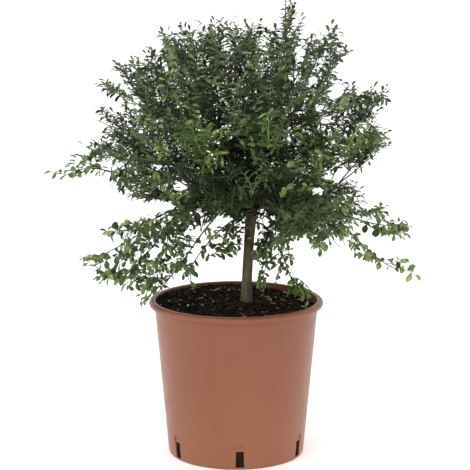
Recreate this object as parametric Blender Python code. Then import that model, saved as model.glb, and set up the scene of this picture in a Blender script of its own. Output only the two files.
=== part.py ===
"""Finger lime grown as a small standard, in a round nursery pot.

A clay-coloured plastic pot is filled with compost and carries one short trunk. The trunk's
head bears two whorls of boughs. Each bough ends in a knuckle, and the stems that leave the
knuckle carry the masses of foliage, one mass for each stem. Sizes are real ones, in metres.
The origin is the middle of the pot's underside, with +Z up and the photographed side at -Y.
"""

import math
import random

import bmesh
import bpy
from mathutils import Matrix, Quaternion, Vector, kdtree

MM = 0.001
UP = Vector((0, 0, 1))
CLEARANCE = 0.3 * MM  # between pieces that touch

# Pot: a thin tapering wall under a rolled rim, with drainage slots round its foot.
POT_HEIGHT = 199 * MM
RIM_RADIUS = 110.5 * MM
RIM_DEPTH = 7.2 * MM
RIM_WIDTH = 8 * MM
RIM_TURNS = (-58, -22, 14, 50, 90)  # degrees round the bead, from its underside to its crown
RIM_STEP = 0.4 * MM  # how far the wall stands in from the bead's inner edge
FOOT_RADIUS = 86.2 * MM
FOOT_ROUND = 2.6 * MM
WALL = 1.6 * MM
FLOOR = 2.6 * MM
ROUND_SIDES = 48
SLOT_COUNT = 6
SLOT_TURN = math.radians(-87)  # the slot at the front
SLOT_WIDTH = 9.4 * MM
SLOT_LOW = 3.2 * MM
SLOT_HIGH = 24 * MM
PANEL_WIDTH = 12.6 * MM  # the shallow arched recess round each slot
PANEL_LOW = 2.2 * MM
PANEL_HIGH = 30.4 * MM
PANEL_DEPTH = 0.7 * MM
PANEL_STEPS = 6

# Compost: level under the rim, with a low mound round the trunk, and banked up behind it.
SOIL_LEVEL = 188 * MM
SOIL_RINGS = (1, 0.8, 0.55, 0.3)
SOIL_BUMP = 1.6 * MM
MOUND_TOP = 194 * MM
MOUND_RADIUS = 52 * MM
MOUND_FLAT = 0.26  # the share of the mound's radius that is level
FLAT_ENOUGH = 0.2 * MM
BANK_HEIGHT = 7.5 * MM  # how much higher the compost lies at the back left of the pot
BANK_TURN = math.radians(130)
BANK_SHARE = 0.72  # the share of the pot's radius over which the bank rises
SOIL_TOP = 196 * MM

# Trunk: leans to the right and swells into a head where the boughs leave.
TRUNK_FOOT = Vector((12.5 * MM, 0, MOUND_TOP + CLEARANCE))
TRUNK_TOP = Vector((22.5 * MM, 0, 342 * MM))
TRUNK_BOW = Vector((-1.5 * MM, 2 * MM, 0))
TRUNK_SIDES = 10
TRUNK_RINGS = 11
RING_CROWDING = 1.4  # above 1, the rings are closer together at the foot
FLARE_RADIUS = 8.6 * MM
FLARE_FADE = 14
SHAFT_RADIUS = 6.2 * MM
HEAD_RADIUS = 7.8 * MM
HEAD_FROM = 0.45  # the share of the trunk's height where it begins to swell
HEAD_TO = 0.9

# Boughs: (whorl, how many, first bearing, rise, length, height where they leave the trunk).
# Bearings turn from +X towards +Y. Bearings and rises are in degrees.
BOUGH_WHORLS = (
    ("low", 7, -14, 3, 64 * MM, 322 * MM),
    ("high", 4, 20, 62, 70 * MM, 342 * MM),
)
BOUGH_ROOT = 3.0 * MM
BOUGH_WAIST = 2.4 * MM
KNUCKLE_RADIUS = 2.9 * MM
KNUCKLE_FROM = 0.7
BOUGH_SIDES = 6
BOUGH_RINGS = 5
STAGGER = 4 * MM  # neighbours in the low whorl leave the trunk higher and lower by this
STEMS_PER_BOUGH = 3

# Masses of foliage in tiers, as (tier, how many, first bearing, step, rise, reach, droop).
# Reach is from the trunk's head to the outermost leaf.
MASS_TIERS = (
    ("top", 5, 168, 72, 62, 238 * MM, -0.35),
    ("upper", 7, 180, 360 / 7, 40, 234 * MM, -0.35),
    ("middle", 5, 222, 72, 14, 205 * MM, 0.2),
    ("back", 2, 68, 44, -12, 190 * MM, 0.2),
)
# Single sprays that stand out of the dome, as (name, bearing, rise, reach, droop, spread).
SPRAYS = (
    ("spire", 8, 80, 262 * MM, -0.1, 0.42),
    ("left_shoulder", 176, 25, 244 * MM, 0, 0.8),
    ("far_left", 184, 6, 264 * MM, 0.55, 0.24),
    ("left_skirt", 190, -17, 212 * MM, 0.1, 0.45),
    ("left_skirt_low", 174, -25, 254 * MM, -0.1, 0.55),
    ("left_skirt_lower", 186, -34, 242 * MM, -0.2, 0.6),
    ("left_skirt_inner", 198, -45, 210 * MM, -0.1, 0.6),
    ("right_edge", 2, 20, 205 * MM, 0.3, 0.8),
    ("right_skirt", -10, -14, 212 * MM, -0.2, 0.45),
    ("right_skirt_low", 8, -31, 248 * MM, -0.25, 0.35),
    ("right_skirt_inner", -34, -18, 152 * MM, 0.4, 0.7),
)
# Thin sprays low on the trunk, as (name, bearing, height, length out, drop, droop, spread).
TRUNK_SPRAYS = (
    ("trunk_right", 6, 296 * MM, 50 * MM, 90 * MM, 1, 0.7),
    ("trunk_left", 206, 306 * MM, 78 * MM, 64 * MM, 1, 0.65),
)
CROWN_LEAN = 0.06  # share by which the reach grows to the left and shrinks to the right
CROWN_FRONT = 0.03  # share by which the reach grows to the front and shrinks to the back
STEM_SHARE = 0.85  # where a stem ends, as a share of its mass's reach
TIP_SHARE = 0.93  # the same as a share of the crown's outline, at most
TIP_STEP = 0.97  # by how much a stem is shortened at a time until it ends there

# The crown's outline from the front: how far it reaches from its heart in millimetres, by the
# direction in degrees round from the right. Windows are gaps in it that show sky, as (across,
# up, half width, half height). Both are measured across the middle of the front view.
VIEW_TARGET = Vector((-1.5 * MM, 0, 281 * MM))
VIEW_DISTANCE = 2200 * MM
VIEW_LOOK_DOWN = math.radians(10.6)
VIEW_BACK = Vector((0, -math.cos(VIEW_LOOK_DOWN), math.sin(VIEW_LOOK_DOWN)))
VIEW_LIFT = Vector((0, math.sin(VIEW_LOOK_DOWN), math.cos(VIEW_LOOK_DOWN)))
CROWN_HEART = (24 * MM, 60 * MM)
CROWN_OUTLINE = (
    (-72, 85), (-54, 85), (-47, 100), (-40, 120), (-35, 125), (-32.5, 175), (-30.5, 218),
    (-27, 242), (-25, 240), (-23.5, 160), (-20, 150), (-18.5, 200), (-12, 206), (-11.3, 198),
    (-10.5, 165), (-8, 168), (0, 168), (3, 138), (6, 120), (9, 135), (13, 168), (20, 192),
    (30, 198), (37, 214), (42, 190), (47, 176), (50.5, 174), (52.5, 198), (55.5, 214), (58, 204),
    (61, 235), (63.5, 242), (65.5, 224), (71, 220), (72.5, 231), (75, 231), (76.5, 224),
    (77.7, 246), (81.2, 246), (82.3, 214), (83.5, 202), (86, 205), (96, 213), (104, 218),
    (114, 226), (119, 230), (123, 244), (127, 222), (133, 222), (137, 237), (141, 221),
    (146, 238), (150, 200), (152.5, 238), (155, 246), (157, 212), (162, 204), (165.5, 226),
    (170, 232), (173, 262), (176.5, 266), (177.5, 206), (179, 172), (181, 162), (184.5, 155),
    (187, 143), (193.5, 140), (195, 188), (196.5, 201), (198, 192), (199, 160), (201.3, 175),
    (202, 236), (203, 249), (206, 232), (210, 238), (214, 238), (217, 217), (221, 197),
    (226, 206), (229, 190), (233, 150), (238, 130), (246, 110), (258, 85), (288, 90),
)
WINDOWS = (
    (-15.4, 16.5, 10, 10), (-31.9, 1.3, 13, 13), (-45, -14, 12.5, 10), (-9, -45, 15, 11),
    (103, -39, 28, 22), (159, 77, 32, 11), (-172, 70, 30, 10), (-168, 44, 36, 14),
    (-162, -14, 16, 9), (184, -17, 16, 8), (164, -8, 14, 8), (157, 7.6, 11, 8), (190, 23, 6, 8),
    (-100, 38, 13, 7), (-70, 63, 11, 6), (-157, 163, 12, 8), (81, 240, 5, 13), (106, 221, 6, 8),
    (125, 181, 9, 8),
)

# Stems, twigs and leaves. Twigs and leaves leave the flats of three-sided limbs in turn.
STEM_ROOT = 1.5 * MM
STEM_TIP = 0.9 * MM
STEM_RING = (0, 0, 1.6 * MM, 1.8 * MM)  # how far off the knuckle's middle, by count of stems
STEM_LEAVING = 0.22  # the share of its length for which a stem keeps to its bough's line
STEM_RINGS = 6
LIMB_FLATS = 3
FLAT_SWING = math.radians(14)
TWIG_FROM = 0.14
TWIG_STEP = 24 * MM
TWIG_LENGTH = 74 * MM
TWIG_ROOT = 1.2 * MM
TWIG_TIP = 0.8 * MM
TWIG_ANGLE = math.radians(50)
TWIG_BEND = 0.45  # the share of its length where a twig bends forwards and upwards
TWIG_TRIES = (1, 0.8, 0.6)
LEAF_STEP = 14 * MM
STEM_LEAF_STEP = 24 * MM
STEM_BARE = 0.2  # the share of a stem that bears no leaves of its own
LEAF_LENGTH = 43 * MM
LEAF_WIDTH = 27 * MM
LEAF_WIDEST = 0.55  # where a leaf is widest, as a share of its length
LEAF_THICKNESS = 1.2 * MM
LEAF_FOLD = 0.03  # how far the middle of a leaf is lifted, as a share of its length
LEAF_ANGLE = math.radians(52)
LEAF_ROLL = math.radians(72)
LEAF_TRIES = (1, 1, 0.9, 0.9, 0.8, 0.8, 0.7, 0.7)  # sizes tried until one fits
ANGLE_SWING = math.radians(10)
TWIG_MARGIN = 2 * TWIG_ROOT + 0.6 * MM  # between twigs of neighbouring masses
LEAF_MARGIN = 1.6 * MM
LEAF_APART = 4 * MM  # between leaves of the same mass, point by point
LEAF_SLACK = 1.04  # how far leaves may pass the crown's edge, as a share of the way to it
LIMB_MARGIN = 1.2 * MM
POT_MARGIN = 5 * MM
CLOSE = 2 * MM  # between points that stand for a line
SEED = 11


def clear_scene():
    for old in list(bpy.data.objects):
        bpy.data.objects.remove(old)


def finish(name, colour, roughness):
    """A plain, unmetallic finish."""
    made = bpy.data.materials.new(name)
    made.use_nodes = True
    shader = made.node_tree.nodes["Principled BSDF"]
    shader.inputs["Base Color"].default_value = (*colour, 1)
    shader.inputs["Roughness"].default_value = roughness
    shader.inputs["Metallic"].default_value = 0
    made.diffuse_color = (*colour, 1)
    return made


def object_of(name, mesh, material):
    made = bpy.data.objects.new(name, mesh)
    made.data.materials.append(material)
    bpy.context.collection.objects.link(made)
    return made


def mesh_of(name, points, faces):
    made = bpy.data.meshes.new(name)
    made.from_pydata(points, [], faces)
    return made


def smooth(obj, degrees):
    obj.data.shade_smooth()
    obj.data.set_sharp_from_angle(angle=math.radians(degrees))


def apply_modifiers(obj):
    bpy.context.view_layer.update()
    graph = bpy.context.evaluated_depsgraph_get()
    made = bpy.data.meshes.new_from_object(obj.evaluated_get(graph))
    obj.modifiers.clear()
    obj.data = made


def boolean_with(obj, helpers, operation, solver):
    """Joins the helpers to the object, or cuts them out of it, in one go."""
    group = bpy.data.collections.new(obj.name + "_helpers")
    bpy.context.scene.collection.children.link(group)
    for helper in helpers:
        bpy.context.collection.objects.unlink(helper)
        group.objects.link(helper)
    cut = obj.modifiers.new(operation.title(), "BOOLEAN")
    cut.operation = operation
    cut.solver = solver
    cut.operand_type = "COLLECTION"
    cut.collection = group
    apply_modifiers(obj)
    for helper in helpers:
        bpy.data.objects.remove(helper)
    bpy.data.collections.remove(group)


def outward(shape, name):
    """A mesh of the shape, with its faces pointing out."""
    bmesh.ops.recalc_face_normals(shape, faces=shape.faces[:])
    made = bpy.data.meshes.new(name)
    shape.to_mesh(made)
    shape.free()
    return made


def lathed(name, profile):
    """A closed solid of revolution from an outline of (radius, height) that ends on the axis."""
    shape = bmesh.new()
    corners = [shape.verts.new((radius, 0, height)) for radius, height in profile]
    edges = [shape.edges.new(pair) for pair in zip(corners, corners[1:])]
    bmesh.ops.spin(
        shape, geom=corners + edges, cent=(0, 0, 0), axis=(0, 0, 1),
        angle=math.tau, steps=ROUND_SIDES, use_merge=True, use_duplicate=False,
    )
    bmesh.ops.remove_doubles(shape, verts=shape.verts[:], dist=0.01 * MM)
    return outward(shape, name)


def wall_radius(height):
    """The pot's outer radius at a height, under the rim."""
    top = RIM_RADIUS - RIM_WIDTH - RIM_STEP + WALL
    return FOOT_RADIUS + (top - FOOT_RADIUS) * height / (POT_HEIGHT - RIM_DEPTH)


def pot_profile():
    """From the underside's middle out to the foot, up the wall, over the rim and down inside."""
    under = POT_HEIGHT - RIM_DEPTH
    outside = [
        (0, 0), (FOOT_RADIUS - FOOT_ROUND, 0),
        (wall_radius(FOOT_ROUND), FOOT_ROUND), (wall_radius(under), under),
    ]
    middle = (RIM_RADIUS - RIM_WIDTH / 2, POT_HEIGHT - RIM_DEPTH / 2)
    bead = []
    for turn in RIM_TURNS:
        angle = math.radians(turn)
        across, up = RIM_WIDTH / 2 * math.cos(angle), RIM_DEPTH / 2 * math.sin(angle)
        bead.append((middle[0] + across, middle[1] + up))
    inside = [
        (RIM_RADIUS - RIM_WIDTH, POT_HEIGHT - WALL / 2),
        (wall_radius(under) - WALL, under - WALL),
        (wall_radius(FLOOR) - WALL, FLOOR),
        (0, FLOOR),
    ]
    return outside + bead + inside


def slab(name, outline, near, far, turn):
    """An outline of (across, height), pushed outwards through the pot's wall."""
    shape = bmesh.new()
    front = shape.faces.new([shape.verts.new((near, across, up)) for across, up in outline])
    pushed = bmesh.ops.extrude_face_region(shape, geom=[front])["geom"]
    moved = [part for part in pushed if isinstance(part, bmesh.types.BMVert)]
    bmesh.ops.translate(shape, verts=moved, vec=(far - near, 0, 0))
    bmesh.ops.rotate(shape, verts=shape.verts[:], matrix=Matrix.Rotation(turn, 3, "Z"))
    return outward(shape, name)


def arch(width, low, high):
    """The outline of an upright panel with a round top."""
    half = width / 2
    outline = [(-half, low), (half, low)]
    for step in range(PANEL_STEPS + 1):
        angle = math.pi * step / PANEL_STEPS
        outline.append((half * math.cos(angle), high - half + half * math.sin(angle)))
    return outline


def build_pot(material):
    pot = object_of("pot", lathed("pot", pot_profile()), material)
    beyond = RIM_RADIUS + WALL
    panel_floor = wall_radius(SLOT_HIGH) - PANEL_DEPTH
    inside = FOOT_RADIUS - 4 * WALL
    half = SLOT_WIDTH / 2
    opening = [(-half, SLOT_LOW), (half, SLOT_LOW), (half, SLOT_HIGH), (-half, SLOT_HIGH)]
    cutters = []
    for index in range(SLOT_COUNT):
        turn = SLOT_TURN + math.tau * index / SLOT_COUNT
        panel = slab("panel", arch(PANEL_WIDTH, PANEL_LOW, PANEL_HIGH), panel_floor, beyond, turn)
        slot = slab("slot", opening, inside, beyond, turn)
        cutters += [object_of("panel", panel, material), object_of("slot", slot, material)]
    boolean_with(pot, cutters, "DIFFERENCE", "EXACT")
    smooth(pot, 25)


def eased(share):
    """Rises from 0 to 1 with the share, level at both ends."""
    share = min(1, max(0, share))
    return share * share * (3 - 2 * share)


def mound(x, y):
    """The height of the compost, without its bank and its crumbs."""
    away = math.hypot(x - TRUNK_FOOT.x, y - TRUNK_FOOT.y) / MOUND_RADIUS
    return MOUND_TOP - (MOUND_TOP - SOIL_LEVEL) * eased((away - MOUND_FLAT) / (1 - MOUND_FLAT))


def bank(x, y):
    """How much higher the compost lies towards the back left."""
    along = x * math.cos(BANK_TURN) + y * math.sin(BANK_TURN)
    return BANK_HEIGHT * eased(along / (BANK_SHARE * wall_radius(SOIL_LEVEL)))


def build_soil(material):
    """A plug of compost just inside the pot, with an uneven top that is flat at the trunk."""
    chance = random.Random(SEED)
    low = FLOOR + CLEARANCE
    edge = wall_radius(SOIL_LEVEL) - WALL - 2 * CLEARANCE
    profile = [(0, low), (wall_radius(low) - WALL - 2 * CLEARANCE, low)]
    profile += [(edge * share, SOIL_LEVEL) for share in SOIL_RINGS]
    profile += [(0, SOIL_LEVEL)]
    mesh = lathed("soil", profile)
    for corner in mesh.vertices:
        if corner.co.z < SOIL_LEVEL - MM:
            continue
        level = mound(corner.co.x, corner.co.y)
        at_wall = math.hypot(corner.co.x, corner.co.y) > edge - MM
        at_trunk = level > MOUND_TOP - FLAT_ENOUGH
        bump = 0 if at_wall else chance.uniform(-SOIL_BUMP, SOIL_BUMP)
        banked = min(level + bump, MOUND_TOP) + bank(corner.co.x, corner.co.y)
        corner.co.z = MOUND_TOP if at_trunk else min(banked, SOIL_TOP)
    smooth(object_of("soil", mesh, material), 50)


def first_normal(along):
    """The direction across a limb from which its corners are counted."""
    level = Vector((0, 1, 0)) if abs(along.y) < 0.9 else Vector((1, 0, 0))
    return along.cross(level).normalized()


def tube(points, radii, sides, leaving=None):
    """Points and faces of a tapering limb with flat ends, round the given centre line.

    The first end is square to the way in which the limb leaves what carries it.
    """
    normal = None
    rings = []
    for index, (centre, radius) in enumerate(zip(points, radii)):
        before = points[max(index - 1, 0)]
        after = points[min(index + 1, len(points) - 1)]
        along = leaving if index == 0 and leaving else (after - before).normalized()
        if normal is None:
            normal = first_normal(along)
        normal = (normal - along * normal.dot(along)).normalized()
        other = along.cross(normal)
        for step in range(sides):
            angle = math.tau * step / sides
            rings.append(centre + radius * (math.cos(angle) * normal + math.sin(angle) * other))
    faces = [tuple(range(sides))[::-1]]
    for ring in range(len(points) - 1):
        start = ring * sides
        for step in range(sides):
            after = (step + 1) % sides
            faces.append((start + step, start + after, start + sides + after, start + sides + step))
    last = (len(points) - 1) * sides
    faces.append(tuple(range(last, last + sides)))
    return rings, faces


def curve_points(start, first, second, end, count):
    """Points along a cubic curve from start to end with two guides."""
    points = []
    for step in range(count):
        t = step / (count - 1)
        u = 1 - t
        points.append(
            u * u * u * start + 3 * u * u * t * first + 3 * u * t * t * second + t * t * t * end
        )
    return points


def heading(bearing, rise):
    """A unit vector at a bearing round +Z and a rise above the level, both in degrees."""
    turn, lift = math.radians(bearing), math.radians(rise)
    return Vector((
        math.cos(lift) * math.cos(turn), math.cos(lift) * math.sin(turn), math.sin(lift)
    ))


def trunk_centre(height):
    share = (height - TRUNK_FOOT.z) / (TRUNK_TOP.z - TRUNK_FOOT.z)
    bow = math.sin(math.pi * min(1, max(0, share)))
    return TRUNK_FOOT.lerp(TRUNK_TOP, share) + TRUNK_BOW * bow


def trunk_radius(height):
    """Flared at the foot, slender in the shaft and swollen at the head."""
    share = (height - TRUNK_FOOT.z) / (TRUNK_TOP.z - TRUNK_FOOT.z)
    flare = (FLARE_RADIUS - SHAFT_RADIUS) * math.exp(-share * FLARE_FADE)
    swelling = min(1, max(0, (share - HEAD_FROM) / (HEAD_TO - HEAD_FROM)))
    return SHAFT_RADIUS + flare + (HEAD_RADIUS - SHAFT_RADIUS) * swelling ** 1.5


def build_trunk(material):
    """The trunk, and its centre line and radii, which the foliage keeps clear of."""
    heights = []
    for ring in range(TRUNK_RINGS):
        share = (ring / (TRUNK_RINGS - 1)) ** RING_CROWDING
        heights.append(TRUNK_FOOT.z + (TRUNK_TOP.z - TRUNK_FOOT.z) * share)
    points = [trunk_centre(height) for height in heights]
    radii = [trunk_radius(height) for height in heights]
    rings, faces = tube(points, radii, TRUNK_SIDES)
    for corner in rings[:TRUNK_SIDES]:
        corner.z = TRUNK_FOOT.z
    for corner in rings[-TRUNK_SIDES:]:
        corner.z = TRUNK_TOP.z
    smooth(object_of("trunk", mesh_of("trunk", rings, faces), material), 40)
    return points, radii


def plan_boughs():
    """Each bough's name, centre line and radii, from the trunk's head to its knuckle."""
    boughs = []
    for whorl, count, first, rise, length, height in BOUGH_WHORLS:
        for index in range(count):
            bearing = first + 360 * index / count
            outward_way, ahead = heading(bearing, 0), heading(bearing, rise)
            if whorl == "low":
                step = 0 if index == count - 1 else STAGGER * (-1) ** (index + 1)
                level = height + step
                start = trunk_centre(level) + outward_way * (trunk_radius(level) + CLEARANCE)
                leaving = outward_way
            else:
                start = TRUNK_TOP + UP * CLEARANCE + outward_way * (HEAD_RADIUS - BOUGH_ROOT)
                leaving = UP
            knuckle = start + ahead * length
            first_guide, second_guide = start + leaving * length / 3, knuckle - ahead * length / 3
            points = curve_points(start, first_guide, second_guide, knuckle, BOUGH_RINGS)
            boughs.append({
                "name": f"bough_{whorl}_{index + 1}", "points": points, "leaving": leaving,
                "radii": bough_radii(), "stems": [],
            })
    return boughs


def bough_radii():
    """Thickest at the root, slender in the waist, with a swollen knuckle at the tip."""
    radii = []
    for index in range(BOUGH_RINGS):
        share = index / (BOUGH_RINGS - 1)
        waist = BOUGH_ROOT + (BOUGH_WAIST - BOUGH_ROOT) * min(1, share / KNUCKLE_FROM)
        swelling = max(0, (share - KNUCKLE_FROM) / (1 - KNUCKLE_FROM))
        radii.append(waist + (KNUCKLE_RADIUS - BOUGH_WAIST) * swelling ** 2)
    return radii


def build_boughs(boughs, material):
    for bough in boughs:
        rings, faces = tube(bough["points"], bough["radii"], BOUGH_SIDES, bough["leaving"])
        smooth(object_of(bough["name"], mesh_of(bough["name"], rings, faces), material), 60)


def seen_from_front(point):
    """Where a point shows from the front, across and up from the view's middle."""
    away = point - VIEW_TARGET - VIEW_BACK * VIEW_DISTANCE
    depth = -away.dot(VIEW_BACK)
    return away.x * VIEW_DISTANCE / depth, away.dot(VIEW_LIFT) * VIEW_DISTANCE / depth


def outline_reach(angle):
    """How far the outline is from the crown's heart in a direction."""
    for (low, near), (high, far) in zip(CROWN_OUTLINE, CROWN_OUTLINE[1:]):
        if angle <= high:
            return (near + (far - near) * (angle - low) / (high - low)) * MM
    return CROWN_OUTLINE[-1][1] * MM


def in_window(point):
    """Whether a point shows in one of the windows."""
    across, up = seen_from_front(point)
    for middle, level, wide, high in WINDOWS:
        if math.hypot((across - middle * MM) / (wide * MM), (up - level * MM) / (high * MM)) < 1:
            return True
    return False


def in_outline(point, share=1):
    """Whether a point shows inside the crown's outline, scaled by a share."""
    across, up = seen_from_front(point)
    right, rise = across - CROWN_HEART[0], up - CROWN_HEART[1]
    first = CROWN_OUTLINE[0][0]
    angle = (math.degrees(math.atan2(rise, right)) - first) % 360 + first
    return math.hypot(right, rise) < share * outline_reach(angle)


def plan_masses():
    """Every mass's name, tip, reach, droop and spread, and its start where the trunk bears it."""
    masses = []
    for tier, count, first, step, rise, reach, droop in MASS_TIERS:
        for index in range(count):
            toward = heading(first + step * index, rise)
            limit = reach * (1 - CROWN_LEAN * toward.x - CROWN_FRONT * toward.y)
            masses.append({
                "name": f"foliage_{tier}_{index + 1}",
                "tip": TRUNK_TOP + toward * limit * STEM_SHARE,
                "reach": limit, "droop": droop, "spread": 1, "borne": False, "in_crown": True,
            })
    for name, bearing, rise, reach, droop, spread in SPRAYS:
        masses.append({
            "name": f"foliage_{name}",
            "tip": TRUNK_TOP + heading(bearing, rise) * reach * STEM_SHARE,
            "reach": reach, "droop": droop, "spread": spread, "borne": False, "in_crown": True,
        })
    for mass in masses:
        while not in_outline(mass["tip"], TIP_SHARE) or in_window(mass["tip"]):
            mass["tip"] = TRUNK_TOP.lerp(mass["tip"], TIP_STEP)
    for name, bearing, height, length, drop, droop, spread in TRUNK_SPRAYS:
        way = heading(bearing, 0)
        start = trunk_centre(height) + way * (trunk_radius(height) + CLEARANCE)
        masses.append({
            "name": f"foliage_{name}", "tip": start + way * length - UP * drop,
            "reach": (start - TRUNK_TOP).length + length + drop, "droop": droop,
            "spread": spread, "borne": True, "in_crown": False, "start": start, "leaving": way,
        })
    return masses


def share_out(masses, boughs):
    """Gives the masses to the boughs that point best at them, the best match first."""
    matches = []
    for mass in masses:
        for bough in boughs:
            knuckle, before = bough["points"][-1], bough["points"][-2]
            turn = (knuckle - before).angle(mass["tip"] - knuckle)
            matches.append((turn, mass["name"], mass, bough))
    matches.sort(key=lambda match: match[:2])
    for _, _, mass, bough in matches:
        if not mass["borne"] and len(bough["stems"]) < STEMS_PER_BOUGH:
            bough["stems"].append(mass)
            mass["borne"] = True


def seat_stems(boughs):
    """Spreads the stems evenly round each knuckle, so that they leave it side by side."""
    for bough in boughs:
        knuckle, before = bough["points"][-1], bough["points"][-2]
        ahead = (knuckle - before).normalized()
        across = ahead.cross(UP).normalized()
        above = across.cross(ahead)
        stems = bough["stems"]
        for mass in stems:
            toward = (mass["tip"] - knuckle).normalized()
            mass["turn"] = math.atan2(toward.dot(above), toward.dot(across)) % math.tau
        stems.sort(key=lambda mass: mass["turn"])
        gap = math.tau / max(1, len(stems))
        offsets = [
            (math.cos(mass["turn"] - gap * place), math.sin(mass["turn"] - gap * place))
            for place, mass in enumerate(stems)
        ]
        turned = math.atan2(sum(s for _, s in offsets), sum(c for c, _ in offsets))
        for place, mass in enumerate(stems):
            angle = turned + gap * place
            side = across * math.cos(angle) + above * math.sin(angle)
            mass["start"] = knuckle + ahead * CLEARANCE + side * STEM_RING[len(stems)]
            mass["leaving"] = ahead


def stem_line(mass):
    """The stem's centre line: it leaves along its limb and then rises or droops to its tip."""
    start, tip = mass["start"], mass["tip"]
    length = (tip - start).length
    toward = (tip - start).normalized()
    arriving = (toward - UP * mass["droop"]).normalized()
    first = start + mass["leaving"] * length * STEM_LEAVING
    return curve_points(start, first, tip - arriving * length / 3, tip, STEM_RINGS)


def dense(points, step):
    """The same line with points close together."""
    made = []
    for begin, end in zip(points, points[1:]):
        count = max(1, math.ceil((end - begin).length / step))
        made += [begin.lerp(end, part / count) for part in range(count)]
    return made + [points[-1]]


def line_length(points):
    return sum((end - begin).length for begin, end in zip(points, points[1:]))


def tree_of(points):
    tree = kdtree.KDTree(len(points))
    for index, point in enumerate(points):
        tree.insert(point, index)
    tree.balance()
    return tree


class Space:
    """The room for each mass: nearer to its stem than to another, clear of limbs, within reach."""

    def __init__(self, masses, limbs):
        lines = {mass["name"]: dense(mass["line"], CLOSE) for mass in masses}
        self.masses = {mass["name"]: mass for mass in masses}
        self.own = {name: tree_of(line) for name, line in lines.items()}
        self.others = {}
        for name in lines:
            rest = [point for other, line in lines.items() if other != name for point in line]
            self.others[name] = tree_of(rest)
        self.limbs = []
        for points, radii in limbs:
            for index in range(len(points) - 1):
                part = dense(points[index:index + 2], CLOSE)
                self.limbs += [(point, max(radii[index:index + 2])) for point in part]
        self.limb_tree = tree_of([point for point, _ in self.limbs])
        self.widest = max(radius for _, radius in self.limbs)
        self.taken = []

    def in_crown(self, name, point, slack=1):
        """Whether a point is within the mass's reach and the crown's outline, and in no window."""
        mass = self.masses[name]
        if (point - TRUNK_TOP).length > mass["reach"] * slack or in_window(point):
            return False
        return in_outline(point, slack) or not mass["in_crown"]

    def holds(self, name, point, margin):
        near = self.own[name].find(point)[2]
        far = self.others[name].find(point)[2]
        if far - near < margin:
            return False
        over_pot = math.hypot(point.x, point.y) < RIM_RADIUS + POT_MARGIN
        if over_pot and point.z < POT_HEIGHT + POT_MARGIN:
            return False
        for _, index, away in self.limb_tree.find_range(point, self.widest + LIMB_MARGIN):
            if away < self.limbs[index][1] + LIMB_MARGIN:
                return False
        return True

    def holds_twig(self, name, points):
        return all(
            self.in_crown(name, point) and self.holds(name, point, TWIG_MARGIN)
            for point in dense(points, 2 * CLOSE)
        )

    def holds_leaf(self, name, corners):
        """Tests points over the leaf, from a third of its length on, where it has left its twig."""
        base, tip, left, right, above, below = corners
        points = [
            base.lerp(tip, 0.3), tip, left, right, above, below, left.lerp(tip, 0.5),
            right.lerp(tip, 0.5), base.lerp(left, 0.6), base.lerp(right, 0.6),
        ]
        if not all(self.in_crown(name, point, LEAF_SLACK) for point in (points[0], tip)):
            return False
        if not all(self.holds(name, point, LEAF_MARGIN) for point in points):
            return False
        if any((point - other).length < LEAF_APART for point in points for other in self.taken):
            return False
        self.taken += points
        return True

    def begin(self, twigs):
        """Starts a new mass: its leaves keep off its twigs and off each other."""
        self.taken = [point for twig in twigs for point in dense(twig, 2 * CLOSE)]


def leaf_corners(root, along, face, size):
    """Base, tip, two sides and the crests above and below of one leaf, folded along its middle."""
    across = along.cross(face).normalized()
    above = across.cross(along)
    length, half = LEAF_LENGTH * size, LEAF_WIDTH * size / 2
    middle = root + along * length * LEAF_WIDEST
    lift = length * LEAF_FOLD
    return [
        root, root + along * length - above * lift,
        middle + across * half, middle - across * half,
        middle + above * (lift + LEAF_THICKNESS / 2), middle + above * (lift - LEAF_THICKNESS / 2),
    ]


LEAF_FACES = (
    (0, 2, 4), (2, 1, 4), (1, 3, 4), (3, 0, 4),
    (2, 0, 5), (1, 2, 5), (3, 1, 5), (0, 3, 5),
)


def turned_about(axis, direction, angle):
    return Quaternion(axis, angle) @ direction


def flat_side(along, normal, number, chance):
    """The way out of one flat of a limb, the next flat each time."""
    across = (normal - along * normal.dot(along)).normalized()
    turn = math.tau * (number + 0.5) / LIMB_FLATS + chance.uniform(-FLAT_SWING, FLAT_SWING)
    return turned_about(along, across, turn)


def branching(along, side, angle, chance):
    """The way in which a twig or a leaf leaves the limb that bears it."""
    swung = angle + chance.uniform(-ANGLE_SWING, ANGLE_SWING)
    return (along * math.cos(swung) + side * math.sin(swung)).normalized()


def twig_line(start, along, side, length, chance):
    """A twig leaves its stem at an angle, and then bends forwards and upwards a little."""
    out = branching(along, side, TWIG_ANGLE, chance)
    onward = (out + along * 0.3 + UP * 0.25).normalized()
    bend = start + out * length * TWIG_BEND
    return [start, bend, bend + onward * length * (1 - TWIG_BEND)]


def twig_share(place):
    """How long a twig is for its place along the stem: longest a third of the way out."""
    return min(1, 0.55 + place * 1.6) * min(1, 0.34 + (1 - place) * 1.35)


def leaf_share(spread):
    """How large the leaves of a mass are for its spread: smaller in a thin spray."""
    return 0.6 + 0.4 * spread


def facing_up(direction, chance):
    """An upper side that looks up, rolled about the leaf's own length by chance."""
    level = direction.cross(UP)
    level = level.normalized() if level.length > 0.1 else Vector((0, 1, 0))
    return turned_about(direction, level.cross(direction), chance.uniform(-LEAF_ROLL, LEAF_ROLL))


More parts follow.
